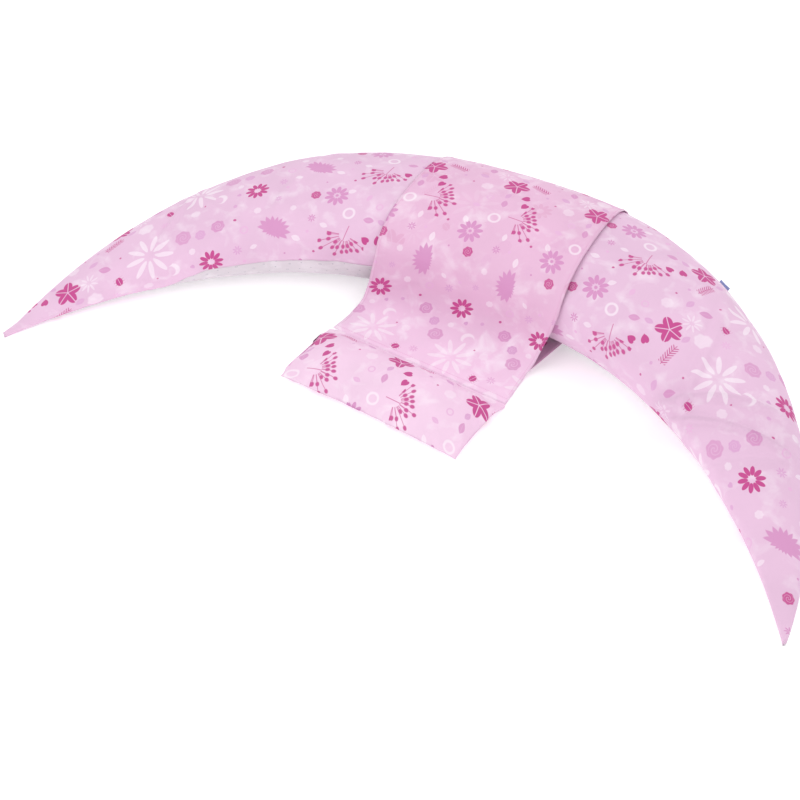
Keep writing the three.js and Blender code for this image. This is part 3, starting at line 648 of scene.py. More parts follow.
def motif_coverage():
    """Group that draws the motif that the surface's attribute names: 1 where there is ink."""
    tree = bpy.data.node_groups.new("printed_motif", "ShaderNodeTree")
    tree.interface.new_socket("Place", in_out="INPUT", socket_type="NodeSocketVector")
    tree.interface.new_socket("Coverage", in_out="OUTPUT", socket_type="NodeSocketFloat")
    source, target = tree.nodes.new("NodeGroupInput"), tree.nodes.new("NodeGroupOutput")
    split = add(tree, "ShaderNodeSeparateXYZ", source)
    x, y, kind = (Field(tree, split.outputs[k]) for k in range(3))
    radius = (x * x + y * y).do("SQRT")
    angle = y.do("ARCTAN2", x) + math.pi
    side, rise = x.do("ABSOLUTE"), y.do("ABSOLUTE")

    daisy, _ = petals(angle, radius, 10, 0.62, 0.36, 0.165)
    eye = (-radius + 0.13).soft(0.03)
    wings, vein = petals(angle + 0.35, radius, 5, 0.52, 0.48, 0.34)
    vein_gap = (vein.do("ABSOLUTE") - 0.03).soft(0.02)
    great, _ = petals(angle, radius, 9, 0.6, 0.38, 0.1)
    star, _ = petals(angle, radius, 8, 0.56, 0.4, 0.13)

    dip = y + side.do("SQRT") * 0.55 - 0.12
    heart = (-(side * side * 1.25 + dip * dip * 1.1) + 0.72).soft(0.08)

    # Branch: a stalk that opens into a fan of twigs with a berry at the end of each
    fan_y = y * -1 + 0.55
    reach = (x * x + fan_y * fan_y).do("SQRT")
    lean = x.do("ARCTAN2", fan_y)
    inside = (lean.do("ABSOLUTE") - 1.42).less(0)
    branch = None
    for count, near, far in ((11, 0.78, 0.62), (8, 0.52, 0.34)):
        step = math.pi / count
        sector = lean * (1 / step)
        turn = (sector.do("FRACT") - 0.5) * step
        jitter = Field(tree, add(tree, "ShaderNodeTexWhiteNoise", noise_dimensions="1D",
                                 inputs={"W": sector.do("FLOOR").source}))
        end = jitter * far + near
        off = reach * turn.do("COSINE") - end
        across = reach * turn.do("SINE")
        berry = (-(off * off * 0.55 + across * across).do("SQRT") + 0.088).soft(0.02)
        twig = (-across.do("ABSOLUTE") + 0.017).soft(0.01) * off.less(0) * (-(reach - 0.3)).less(0.0)
        part = berry.do("MAXIMUM", twig * 0.8)
        branch = part if branch is None else branch.do("MAXIMUM", part)
    stem = (-side + 0.02).soft(0.012) * fan_y.less(0.32) * (-(fan_y + 0.45)).less(0)
    branch = (branch * inside).do("MAXIMUM", stem * 0.8)

    wobble = (angle * 7).do("SINE") * 0.05 + 0.92
    rings = (radius * 17 + angle * 2).do("SINE") * (-radius + 1.1)
    rose = (wobble - radius).soft(0.06) * (-(rings - 0.35).soft(0.2) * 0.5 + 1)

    tall = y * -1
    squash = tall.less(0) * 1.5 + 1.3
    crown = (x * x + (tall * squash) * (tall * squash)).do("SQRT")
    points = ((x.do("ARCTAN2", tall) * 2.6).do("FRACT") - 0.5).do("ABSOLUTE")
    lotus = (-crown + 1.02 - points * 0.6).soft(0.05)

    shell = (-(x * x * 3.2 + y * y * 2.2) + 1).soft(0.12)
    legs = (-((y * 2.4).do("FRACT") - 0.5).do("ABSOLUTE") + 0.09).soft(0.05)
    legs = legs * side.less(0.85) * rise.less(0.62)
    bug = (shell * (side - 0.03).soft(0.02)).do("MAXIMUM", legs * 0.7)

    tips = ((x - rise * 0.9) * 4).do("FRACT") - 0.5
    leaflet = (-(tips * tips * 9) + 0.5).soft(0.25) * (-rise + 0.36).soft(0.04) * (-side + 0.88).soft(0.03)
    sprig = leaflet.do("MAXIMUM", (-rise + 0.03).soft(0.02) * side.less(1))

    lens = (-rise + (-(x * x) + 1) * 0.55).soft(0.05) * (-(-(rise - 0.03)).soft(0.02) * 0.35 + 1)
    ring = (-(radius - 0.78).do("ABSOLUTE") + 0.17).soft(0.08)
    bite = ((x - 0.45) * (x - 0.45) + y * y).do("SQRT")
    moon = (-radius + 0.95).soft(0.08) * (bite - 0.78).soft(0.08)
    disc = (wobble - radius).soft(0.1)

    drawn = {
        "daisy": daisy, "eyed_daisy": daisy.do("MAXIMUM", eye), "blossom": wings * vein_gap, "heart": heart,
        "branch": branch, "rose": rose, "lotus": lotus, "ladybird": bug, "sprig": sprig, "leaf": lens,
        "ring": ring, "moon": moon, "disc": disc, "great_flower": great, "star": star,
    }
    total = None
    for name, coverage in drawn.items():
        part = kind.do("COMPARE", KINDS.index(name), 0.4) * coverage
        total = part if total is None else total + part
    tree.links.new(total.source.outputs[0], target.inputs[0])
    return tree


def new_material(name, **values):
    """A material with its shader, and what is set on the shader's own sockets."""
    material = bpy.data.materials.new(name)
    material.use_nodes = True
    tree = material.node_tree
    tree.nodes.clear()
    shader = add(tree, "ShaderNodeBsdfPrincipled",
                 inputs={socket.replace("_", " "): value for socket, value in values.items()})
    output = add(tree, "ShaderNodeOutputMaterial")
    tree.links.new(shader.outputs[0], output.inputs["Surface"])
    return material, tree, shader, add(tree, "ShaderNodeTexCoord").outputs["Object"]


def rgba(value, factor=1.0):
    """A colour for a socket, lighter or darker by a factor."""
    return (*[min(1, c * factor) for c in value[:3]], 1.0)


def weave_height(tree, place, pitch):
    """Height of a plain weave whose threads lie that far apart, in metres."""
    split = add(tree, "ShaderNodeSeparateXYZ", place)
    warp = (Field(tree, split.outputs[0]) * (math.pi / pitch)).do("SINE")
    weft = (Field(tree, split.outputs[1]) * (math.pi / pitch)).do("SINE")
    return warp * weft


def cotton(name, ground, ghost=False, painted_light_ground=None):
    """Cotton cloth: plain weave, matt with a faint nap, its ink sunk into the thread.
    The threads are drawn three times as coarse as real ones, so that they show."""
    material, tree, shader, where = new_material(
        name, Roughness=0.86, Specular_IOR_Level=0.25, Sheen_Weight=0.12, Sheen_Roughness=0.5)
    place = add(tree, "ShaderNodeUVMap", uv_map="cloth")
    threads = weave_height(tree, place, THREAD_PITCH)
    patchy = add(tree, "ShaderNodeTexNoise",
                 inputs={"Vector": where, "Scale": 9.0, "Detail": 4.0, "Roughness": 0.6})
    tint = add(tree, "ShaderNodeMix", data_type="RGBA", inputs={
        "Factor": add(tree, "ShaderNodeMapRange", patchy, 0.3, 0.7, 0.0, 1.0),
        "A": rgba(ground, 0.955), "B": rgba(ground, 1.035)})
    mottle = add(tree, "ShaderNodeTexNoise",
                 inputs={"Vector": where, "Scale": 30.0, "Detail": 3.0, "Distortion": 0.4})
    base = add(tree, "ShaderNodeMix", data_type="RGBA", inputs={
        "Factor": add(tree, "ShaderNodeMapRange", mottle, 0.52, 0.72, 0.0, 0.34),
        "A": tint.outputs["Result"], "B": rgba(linear(WHITE))}).outputs["Result"]
    # Painted light: down the band the colour is multiplied up to the lighter flap copy, where the flap lies
    # on the floor
    if painted_light_ground is not None:
        down = add(tree, "ShaderNodeSeparateXYZ", place).outputs[0]
        base = add(tree, "ShaderNodeMix", data_type="RGBA", blend_type="MULTIPLY", inputs={
            "Factor": add(tree, "ShaderNodeMapRange", down, *FLAP_PAINTED_LIGHT, 0.0, 1.0),
            "A": base, "B": (*[b / a for a, b in zip(ground, painted_light_ground)], 1)}).outputs["Result"]
    group = bpy.data.node_groups.get("printed_motif") or motif_coverage()
    for prefix in ("ghost", "motif") if ghost else ("motif",):
        spot = add(tree, "ShaderNodeAttribute", attribute_name=prefix).outputs["Vector"]
        ink = add(tree, "ShaderNodeAttribute", attribute_name=prefix + "_ink")
        drawn = add(tree, "ShaderNodeGroup", node_tree=group)
        tree.links.new(spot, drawn.inputs[0])
        worn = Field(tree, drawn.outputs[0]) * Field(tree, ink.outputs["Alpha"]) * (threads * 0.06 + 0.94)
        base = add(tree, "ShaderNodeMix", data_type="RGBA", inputs={
            "Factor": worn.source, "A": base, "B": ink.outputs["Color"]}).outputs["Result"]
    tree.links.new(base, shader.inputs["Base Color"])
    creases = add(tree, "ShaderNodeTexNoise",
                  inputs={"Vector": where, "Scale": 34.0, "Detail": 3.0, "Distortion": 0.6})
    soft = add(tree, "ShaderNodeBump", inputs={"Height": creases, "Strength": 0.16, "Distance": 4 * MM})
    fine = add(tree, "ShaderNodeBump", inputs={
        "Height": threads.source, "Strength": 0.35, "Distance": 0.15 * MM, "Normal": soft})
    tree.links.new(fine.outputs[0], shader.inputs["Normal"])
    return material


def plain_cloth(name, ground, pitch, roughness=0.9, bump=0.3):
    """Unprinted cloth or tape: a weave or fibre relief over one dyed colour, slightly uneven."""
    material, tree, shader, where = new_material(name, Roughness=roughness)
    fibre = add(tree, "ShaderNodeTexNoise", inputs={"Vector": where, "Scale": 1 / pitch, "Detail": 3.0})
    uneven = add(tree, "ShaderNodeTexNoise", inputs={"Vector": where, "Scale": 40.0, "Detail": 2.0})
    tint = add(tree, "ShaderNodeMix", data_type="RGBA",
               inputs={"Factor": uneven, "A": rgba(ground, 0.9), "B": rgba(ground, 1.06)})
    tree.links.new(tint.outputs["Result"], shader.inputs["Base Color"])
    relief = add(tree, "ShaderNodeBump", inputs={"Height": fibre, "Strength": bump, "Distance": 0.3 * MM})
    tree.links.new(relief.outputs[0], shader.inputs["Normal"])
    return material


def nickel():
    """Nickel-plated zinc: die cast, bright, with a fine satin unevenness and dulled where it is handled."""
    material, tree, shader, where = new_material(
        "nickel_plated_zinc", Base_Color=rgba(COLOUR.metal), Metallic=1.0)
    grain = add(tree, "ShaderNodeTexNoise", inputs={"Vector": where, "Scale": 900.0, "Detail": 3.0})
    dull = add(tree, "ShaderNodeMapRange", grain, 0.35, 0.7, 0.24, 0.42)
    tree.links.new(dull.outputs[0], shader.inputs["Roughness"])
    relief = add(tree, "ShaderNodeBump", inputs={"Height": grain, "Strength": 0.12, "Distance": 0.05 * MM})
    tree.links.new(relief.outputs[0], shader.inputs["Normal"])
    return material


# ---- band: the sleeve round the crescent and the flap in front of it, one strip of cloth ----

def band_centre():
    """The point in plan that the band turns about."""
    return np.array(JOINTS["sleeve_shift"]["pos_m"][:2])


def band_turn():
    """Angle that sets the band that far right of the crescent's middle."""
    middle = (SIZE.outer_rise + SIZE.inner_rise) / 2 + row_shift() - band_centre()[1]
    return math.asin(SIZE.band_offset / middle)


def arc_row(radius, slant, across):
    """A row of the band on a circle about its centre: across runs from 0 to 1."""
    width = SIZE.band_width + (SIZE.flap_width - SIZE.band_width) * slant
    angle = ((across - 0.5) * width + SIZE.flap_shift * slant) / radius + band_turn()
    centre = band_centre()
    return np.stack([centre[0] + radius * np.sin(angle), centre[1] + radius * np.cos(angle)], -1)


def flap_axes(joint):
    """A flap hinge's place in plan, and the directions right along it and forwards from it."""
    spot, side = (np.array(JOINTS[joint][key][:2]) for key in ("pos_m", "axis"))
    side = side * np.sign(side[0])
    return spot, side, np.array([side[1], -side[0]])


def flap_row(joint, ahead, across):
    """A straight row of the flap beside one of its hinges."""
    spot, side, forward = flap_axes(joint)
    return spot + ((across - 0.5) * SIZE.flap_width)[..., None] * side + ahead * forward


def band_section():
    """Shares across the band, and its outer and inner radius about its centre."""
    across = np.linspace(0, 1, round(SIZE.band_width / CELL))
    outer = BAND_TOP_BOX[1].y - band_centre()[1]
    stands_off = outer - (SIZE.outer_rise + row_shift() - band_centre()[1])
    half = (SIZE.outer_rise - SIZE.inner_rise) / 2 + stands_off
    return across, outer, outer - 2 * half


def section_row(angle, across, outer, inner):
    """Plan of a row of the band round the crescent, at an angle of the crescent's cross section."""
    cosine = math.cos(angle)
    along = math.copysign(abs(cosine) ** (2 / SIZE.section), cosine) * ((outer - inner) / 2)
    return arc_row((outer + inner) / 2 + along, 0.0, across)


def draw_band(across, outer, inner, seam):
    """Rows from the outer seam over the crest, down the front and along the flap to the fold."""
    top = BAND_TOP_BOX[1].z
    rows = [at_height(section_row(angle, across, outer, inner), seam + math.sin(angle) * (top - seam))
            for angle in np.linspace(0, math.pi, 90)]
    foot = arc_row(inner, 1.0, across)
    root = flap_row("flap_fold", ROOT_BACK, across)
    fold = flap_row("mini_pillow_fold", FOLD_BACK, across)
    # Down the front: the cloth falls, leans forward and runs out on the floor in a soft curve
    for fall in np.linspace(0.03, 1, 48):
        forward = smooth(np.array(fall), 0.42, 1.25) * 0.9
        plan = arc_row(inner, fall, across) + (root - foot) * forward
        rows.append(at_height(plan, FLAP_LAY + (seam - FLAP_LAY) * (1 - fall) ** 1.15))
    last = rows[-1][:, :2]
    fold = fold - np.array([14 * MM, 0]) * np.maximum(0, 1 - 2 * across)[:, None]
    for share in np.linspace(0, 1, 44)[1:]:
        rows.append(at_height(last * (1 - share) + fold * share, FLAP_LAY))
    return np.array(rows)


def even_rows(rows, spacing):
    """The same surface with its rows spaced evenly along its middle column."""
    middle = rows[:, rows.shape[1] // 2]
    lengths = travelled(middle)
    count = max(3, round(lengths[-1] / spacing))
    wanted = np.linspace(0, lengths[-1], count)
    flat = rows.reshape(len(rows), -1)
    made = np.stack([np.interp(wanted, lengths, flat[:, k]) for k in range(flat.shape[1])], 1)
    return made.reshape(count, rows.shape[1], 3), wanted


def relax(grid, rounds, hold):
    """Evens out the rows of a grid of points, keeping those that hold marks with 1."""
    grid = grid.copy()
    for _ in range(rounds):
        mean = (grid[:-2] + grid[2:]) / 2
        grid[1:-1] += 0.5 * (mean - grid[1:-1]) * (1 - hold[1:-1, None, None])
    return grid


def drape_band(rows, outward, down, place):
    """The band's rows with the cloth's unevenness: on the crescent, down its front and along the floor."""
    along = np.repeat(down[:, None], rows.shape[1], 1)
    edge = np.minimum(place, 1 - place) * SIZE.band_width
    on_top = 1 - smooth(along, *ON_CREST)
    falling = smooth(along, *LEAVES) * (1 - smooth(along, *LANDS))
    lying = smooth(along, *LIES)
    away = (0.9 * np.abs(wave(rows, 0.1, 9)) + 0.5 * np.abs(wave(rows, 0.035, 5))) * on_top
    folds = wave(rows * [1, 0.5, 2.2], 0.06, 12) * 2.8 + 1.2 * wave(rows * [1, 1, 3], 0.03, 2)
    away = away + np.abs(folds) * falling
    ripple = np.abs(wave(rows * [0.45, 1.6, 1], 0.045, 21)) * 3.0 + 1.1 * np.abs(wave(rows, 0.03, 31))
    sewn = 1 - smooth(along, down[-1] - 0.02, down[-1])
    away = away + ripple * lying * smooth(edge, 0.0, 0.02) * sewn
    # The hem's stitched line, then the wandering of both edges, then the band's corner that sticks up
    away = away + 0.5 * np.exp(-(edge - 6 * MM) ** 2 / (1.5 * MM) ** 2)
    rows = rows + outward * (away * MM)[..., None]
    sideways = (line_wave(along, 0.05, 4) * 1.6 + line_wave(along, 0.017, 5) * 0.5) * MM
    left, right = (np.exp(-share * SIZE.band_width / 0.02) for share in (place, 1 - place))
    loose = 0.4 + lying + falling
    rows[..., 0] += sideways * left * loose + sideways[::-1] * right * loose
    ear = np.exp(-((along - down[0]) / 0.012) ** 2) * right
    rows[..., 1] += ear * 6 * MM
    rows[..., 2] += ear * 3 * MM
    return rows, along


def band_piece(material):
    """The band's upper cloth, from the outer seam to the mini pillow's fold."""
    across, outer, inner = band_section()
    columns = len(across)
    seam = SIZE.lift + SIZE.seam_share * SIZE.thickness
    rows, run = even_rows(draw_band(across, outer, inner, seam), CELL)
    down = run - run[np.argmax(rows[:, columns // 2, 2])]
    # Only the bend from the crescent down to the floor is evened out
    bend = smooth(down, 0.17, 0.2) * (1 - smooth(down, 0.33, 0.37))
    rows = relax(rows, 60, 1 - bend)
    outward = outward_normals(rows, len(rows) // 8)
    place = np.repeat(across[None], len(rows), 0)
    rows, along = drape_band(rows, outward, down, place)
    piece = surface("band_cloth", rows, outward)
    over = (place - 0.5) * SIZE.band_width
    keep_uv(piece, np.stack([along + BAND_ANCHOR[0], over + BAND_ANCHOR[1]], -1).reshape(-1, 2))
    # The crescent's own print beneath the band, which shows faintly through it
    beneath = rows.reshape(-1, 3)[:, :2] - CRESCENT_ANCHOR - np.array([0, row_shift()])
    keep_uv(piece, -beneath, "under")
    cloth_wall(piece, SIZE.cloth)
    print_on(piece, FLORAL_TILE)
    print_on(piece, FLORAL_TILE, uv="under", prefix="ghost", strength=0.16, above=0.15)
    shade(piece, material)
    return piece, rows, outward


def under_band(material):
    """The band's lower cloth: from the outer seam beneath the crescent and on to the fold."""
    across, outer, inner = band_section()
    seam = SIZE.lift + SIZE.seam_share * SIZE.thickness
    rows = []
    for angle in np.linspace(0, -math.pi / 2, 60):
        fall = min(1, BASE_FLATNESS * abs(math.sin(angle)))
        rows.append(at_height(section_row(angle, across, outer, inner), seam - fall * (seam - LINING_LAY)))
    root = flap_row("flap_fold", ROOT_BACK, across)
    fold = flap_row("mini_pillow_fold", FOLD_BACK, across)
    for start, end, steps in ((rows[-1][:, :2], root, 20), (root, fold, 30)):
        for share in np.linspace(0, 1, steps)[1:]:
            rows.append(at_height(start * (1 - share) + end * share, LINING_LAY))
    rows, run = even_rows(np.array(rows), 1.6 * CELL)
    piece = surface("band_lining", rows, outward_normals(rows, len(rows) // 2, -1))
    down, over = np.meshgrid(-run, (across - 0.5) * SIZE.band_width, indexing="ij")
    keep_uv(piece, np.stack([down, over], -1).reshape(-1, 2))
    cloth_wall(piece, 0.9 * MM)
    print_on(piece, FLORAL_TILE)
    shade(piece, material)
    return piece


# ---- mini pillow ----


def pillow_grid(side, columns, rows, depth=0.0, slack=0.0):
    """Upper (side 1) or lower half of the mini pillow, crowned, its sides pulled in between its corners."""
    u, v = (-np.cos(np.linspace(0, math.pi, count)) if depth else np.linspace(-1, 1, count)
            for count in (columns, rows))
    v, u = np.meshgrid(v, u, indexing="ij")
    crown = np.clip(1 - np.abs(u) ** CROWN_POWERS[0], 0, 1) * np.clip(1 - np.abs(v) ** CROWN_POWERS[1], 0, 1)
    crown = crown ** CROWN_POWERS[2]
    seam = PILLOW_BOX[0][1].z
    rise = (PILLOW_BOX[1][1].z - seam if side > 0 else seam) - depth - slack
    full = crown if side > 0 else np.minimum(1, 1.5 * crown)
    over = u * (PILLOW_WIDTH / 2 - depth) * (1 - PILLOW_WAIST * (1 - v ** 2))
    far = (0.5 * (v + 1)) * (1 - u ** 2) * PILLOW_BAY
    down = PILLOW_ROOT + PILLOW_LENGTH / 2 + v * (PILLOW_LENGTH / 2 - depth) - far
    spot, across, ahead = flap_axes("mini_pillow_fold")
    plan = spot + over[..., None] * across + down[..., None] * ahead
    base = ROOT_HEIGHT + (seam - ROOT_HEIGHT) * smooth(v, -1.0, -0.55)
    z = base + side * full * max(rise, 1 * MM)
    if side < 0:
        z = np.maximum(z, 0.6 * MM + depth / 3)
    return np.concatenate([plan, (z + 0 * u)[..., None]], 2)


def hang_lip(grid):
    """Draws the upper side's left edge outwards and down, as a lip over the zip in that end."""
    rows, columns = grid.shape[:2]
    u = np.linspace(-1, 1, columns)[None]
    v = np.linspace(-1, 1, rows)[:, None]
    reach = np.maximum(13 * (1 - smooth(v, -1.0, 0.9)), 10.5 * (1 - smooth(v, 0.62, 1.0))) * MM
    near = 1 - smooth(u, -1.0, -0.86)
    side = np.append(flap_axes("mini_pillow_fold")[1], 0)
    hung = grid - side * (reach * near)[..., None]
    hung[..., 2] -= reach * near * 0.16 * smooth(v, -1.0, -0.8)
    return hung


def from_edge(count, length):
    """Distance of each of some even steps from the nearer end of a length."""
    share = np.linspace(0, 1, count)
    return np.minimum(share, 1 - share) * length


def pillow_cover(material):
    """The mini pillow's cover, upper and lower side, blown up by its pad."""
    rows, columns = PILLOW_ROWS, PILLOW_COLUMNS
    top = pillow_grid(1, columns, rows, slack=PILLOW_SWELL)
    base = pillow_grid(-1, columns, rows)
    count = rows * columns
    index = np.arange(count).reshape(rows, columns)
    rim = np.zeros((rows, columns), bool)
    rim[0] = rim[-1] = rim[:, 0] = rim[:, -1] = True
    lower = np.where(rim, index, index + count)
    quads = [(lower[r, c], lower[r + 1, c], lower[r + 1, c + 1], lower[r, c + 1])
             for r in range(rows - 1) for c in range(columns - 1)]
    body = put("mini_pillow_form", np.concatenate([top.reshape(-1, 3), base.reshape(-1, 3)]),
               [*grid_faces(rows, columns), *quads])
    tidy_normals(body)
    blown = inflate(body, 4.0, 9 * MM, np.tile(rim.ravel(), 2), slack=0.02)
    bpy.data.objects.remove(body)
    blown[:, 2] = np.maximum(blown[:, 2], 0.4 * MM)
    shaped = blown[:count].reshape(rows, columns, 3)
    lengths = np.zeros((rows, columns))
    lengths[1:] = np.cumsum(np.linalg.norm(np.diff(shaped, axis=0), axis=2), axis=0)
    return [pillow_panel(name, side, points, lengths, material) for name, side, points in (
        ("mini_pillow_top", 1, hang_lip(shaped)),
        ("mini_pillow_underside", -1, blown[lower].reshape(rows, columns, 3)))]


def pillow_panel(name, side, points, lengths, material):
    """One side of the mini pillow's cover, with its flange to the flap, gathered along its seams."""
    rows, columns = lengths.shape
    flange = [at_height(flap_row("mini_pillow_fold", share * PILLOW_ROOT, np.linspace(0, 1, columns)),
                        (2.6 if side > 0 else 0.9) * MM) for share in (0.0, 0.5)]
    grid = np.concatenate([np.array(flange), points])
    outward = outward_normals(grid, rows // 2, side)
    near = np.minimum(from_edge(columns, PILLOW_WIDTH)[None], from_edge(rows + 2, PILLOW_LENGTH)[:, None])
    gather = np.exp(-near / (14 * MM)) * wave(grid * [1, 1, 0.4], 0.016, 40 + side) * 1.5
    lump = wave(grid, 0.05, 50) * 1.3 + 0.5 * wave(grid, 0.02, 55)
    window = np.ones((rows + 2, 1))
    window[:5, 0] = (0, 0, 0.2, 0.5, 0.8)
    grid = grid + outward * ((gather + lump) * window * MM)[..., None]
    grid[..., 2] = np.maximum(grid[..., 2], 0.2 * MM)
    piece = surface(name, grid, outward)
    far = np.concatenate([np.repeat([[0.0], [PILLOW_ROOT / 2]], columns, 1), lengths + PILLOW_ROOT])
    across = np.repeat(np.linspace(-0.5, 0.5, columns)[None], rows + 2, 0) * PILLOW_WIDTH
    keep_uv(piece, np.stack([far + PILLOW_ANCHOR, across + BAND_ANCHOR[1]], -1).reshape(-1, 2))
    smooth_once(piece)
    cloth_wall(piece, SIZE.cloth)
    print_on(piece, FLORAL_TILE)
    shade(piece, material)
    return piece


def smooth_once(piece):
    """One level of subdivision."""
    finer = piece.modifiers.new("finer", "SUBSURF")
    finer.levels = finer.render_levels = 1
    finer.boundary_smooth = "PRESERVE_CORNERS"
    settle(piece)


def tidy_normals(piece):
    """Turns the faces of a closed mesh outwards."""
    work = bmesh.new()
    work.from_mesh(piece.data)
    bmesh.ops.recalc_face_normals(work, faces=work.faces)
    if work.calc_volume(signed=True) < 0:
        bmesh.ops.reverse_faces(work, faces=work.faces)
    work.to_mesh(piece.data)
    work.free()


def inflate(piece, pressure, cap, held, slack=0.0, frames=20):
    """Blows a closed cloth form up, holding the points of its seam, and gives the points' new places."""
    rest = read(piece.data.vertices, "co", np.float32, 3).astype(float)
    group = piece.vertex_groups.new(name="held")
    group.add([int(index) for index in np.where(held)[0]], 1.0, "REPLACE")
    cloth = piece.modifiers.new("cloth", "CLOTH")
    setting = cloth.settings
    setting.quality = 5
    setting.mass = 0.3
    setting.tension_stiffness = setting.compression_stiffness = 15
    setting.bending_stiffness = 0.4
    setting.use_pressure = True
    setting.uniform_pressure_force = pressure
    setting.shrink_min = -slack
    setting.vertex_group_mass = "held"
    setting.pin_stiffness = 1
    setting.effector_weights.gravity = 0
    cloth.point_cache.frame_start, cloth.point_cache.frame_end = 1, frames
    scene = bpy.context.scene
    for step in range(1, frames + 1):
        scene.frame_set(step)
    shaped = piece.evaluated_get(bpy.context.evaluated_depsgraph_get())
    after = read(shaped.to_mesh().vertices, "co", np.float32, 3).astype(float)
    shaped.to_mesh_clear()
    scene.frame_set(1)
    piece.modifiers.clear()
    move = after - rest
    far = np.linalg.norm(move, axis=1, keepdims=True)
    return rest + move * np.minimum(1, cap / np.maximum(far, 1e-9))


# ---- pads inside ----

def closed_half_pair(name, top, base, material, lumps):
    """A closed body between an upper and a lower grid that share their outline."""
    rows, columns = top.shape[:2]
    bump = lambda grid: (np.minimum(wave(grid, 0.04, 60), 0.3) * lumps)[..., None]
    top, base = (grid + outward_normals(grid, rows // 2, up) * bump(grid)
                 for grid, up in ((top, 1), (base, -1)))
    points = np.concatenate([top.reshape(-1, 3), base.reshape(-1, 3)])
    count = rows * columns
    index = np.arange(count).reshape(rows, columns)
    ring = [*index[0, :-1], *index[:-1, -1], *index[-1, :0:-1], *index[:0:-1, 0]]
    rim = [(a, b, b + count, a + count) for a, b in zip(ring, ring[1:] + ring[:1])]
    faces = [*grid_faces(rows, columns), *grid_faces(rows, columns, start=count, flip=True), *rim]
    piece = put(name, points, faces)
    tidy_normals(piece)
    shade(piece, material)
    return piece


def inner_shell(name, grid, side, material):
    """One half of an inner case as a thin closed shell."""
    normal = outward_normals(grid, len(grid) // 2, side)
    creased = grid + normal * (np.minimum(wave(grid, 0.03, 70 + side), 0) * 0.8 * MM)[..., None]
    piece = surface(name, creased, normal)
    cloth_wall(piece, 0.8 * MM)
    shade(piece, material)
    return piece


# ---- things that repeat along a line ----

def along_line_tree():
    """Geometry Nodes: rounded beads at even steps on a line, turned along it or along a fixed direction."""
    tree = bpy.data.node_groups.new("beads_along_line", "GeometryNodeTree")
    new = tree.interface.new_socket
    new("Geometry", in_out="INPUT", socket_type="NodeSocketGeometry")
    for name, default in (("Pitch", 0.003), ("Length", 0.002), ("Radius", 0.0003)):
        new(name, in_out="INPUT", socket_type="NodeSocketFloat").default_value = default
    new("Fixed", in_out="INPUT", socket_type="NodeSocketBool")
    new("Direction", in_out="INPUT", socket_type="NodeSocketVector")
    new("Material", in_out="INPUT", socket_type="NodeSocketMaterial")
    new("Geometry", in_out="OUTPUT", socket_type="NodeSocketGeometry")
    source, target = tree.nodes.new("NodeGroupInput"), tree.nodes.new("NodeGroupOutput")
    given = {socket.name: socket for socket in source.outputs}
    curve = add(tree, "GeometryNodeMeshToCurve", given["Geometry"])
    dots = add(tree, "GeometryNodeCurveToPoints", curve, mode="LENGTH", inputs={"Length": given["Pitch"]})
    way = add(tree, "GeometryNodeSwitch", given["Fixed"], dots.outputs["Tangent"], given["Direction"],
              input_type="VECTOR")
    turn = add(tree, "FunctionNodeAlignRotationToVector", axis="Z", inputs={"Vector": way})
    bead = add(tree, "GeometryNodeMeshUVSphere", inputs={"Segments": 8, "Rings": 6, "Radius": 1.0})
    half = add(tree, "ShaderNodeMath", given["Length"], 0.5, operation="MULTIPLY")
    scale = add(tree, "ShaderNodeCombineXYZ", given["Radius"], given["Radius"], half)
    placed = add(tree, "GeometryNodeInstanceOnPoints", dots.outputs["Points"],
                 inputs={"Instance": bead.outputs["Mesh"], "Rotation": turn, "Scale": scale})
    real = add(tree, "GeometryNodeRealizeInstances", placed)
    painted = add(tree, "GeometryNodeSetMaterial", real, inputs={"Material": given["Material"]})
    tree.links.new(painted.outputs[0], target.inputs[0])
    return tree


def beads(name, lines, pitch, length, radius, material, direction=None):
    """Beads along one or more lines of points, as a plain mesh."""
    points, edges = [], []
    for line in lines:
        first = len(points)
        points += [tuple(p) for p in line]
        edges += [(first + i, first + i + 1) for i in range(len(line) - 1)]
    mesh = bpy.data.meshes.new(name)
    mesh.from_pydata(points, edges, [])
    made = link(name, mesh)
    tree = bpy.data.node_groups.get("beads_along_line") or along_line_tree()
    nodes = made.modifiers.new("beads", "NODES")
    nodes.node_group = tree
    values = {"Pitch": pitch, "Length": length, "Radius": radius, "Fixed": direction is not None,
              "Direction": (0, 0, 1) if direction is None else tuple(direction), "Material": material}
    for socket in tree.interface.items_tree:
        if socket.in_out == "INPUT" and socket.name in values:
            nodes[socket.identifier] = values[socket.name]
    settle(made)
    made.data.polygons.foreach_set("use_smooth", [True] * len(made.data.polygons))
    return made


# ---- zips and tags ----

def node_points(name):
    """Points of a CAD node's mesh."""
    return read(frame["nodes"][name].data.vertices, "co", np.float32, 3).astype(float)


def zip_line(prefix):
    """Middle line of a zip's coil, and the direction across it, from one tape to the other."""
    points = node_points(prefix + "_coil")
    joint = JOINTS[prefix + "_run"]
    axis = np.array(joint["axis"])
    if prefix == "mini_zip":
        middle = points.mean(0)
        run = (points - middle) @ axis
        return middle + np.outer(np.linspace(run.min(), run.max(), 60), axis), np.array([0, 0, 1.0])
    centre = np.array(joint["pos_m"])
    first = points[0] - centre
    first -= (first @ axis) * axis
    first /= np.linalg.norm(first)
    second = np.cross(axis, first)
    off = points - centre
    angle = np.arctan2(off @ second, off @ first)
    radius = np.linalg.norm(off - np.outer(off @ axis, axis), axis=1)
    level = (off @ axis).mean()
    middle = (radius.min() + radius.max()) / 2
    turns = np.linspace(angle.min(), angle.max(), 160)
    ring = np.outer(np.cos(turns), first) + np.outer(np.sin(turns), second)
    return centre + level * axis + middle * ring, axis


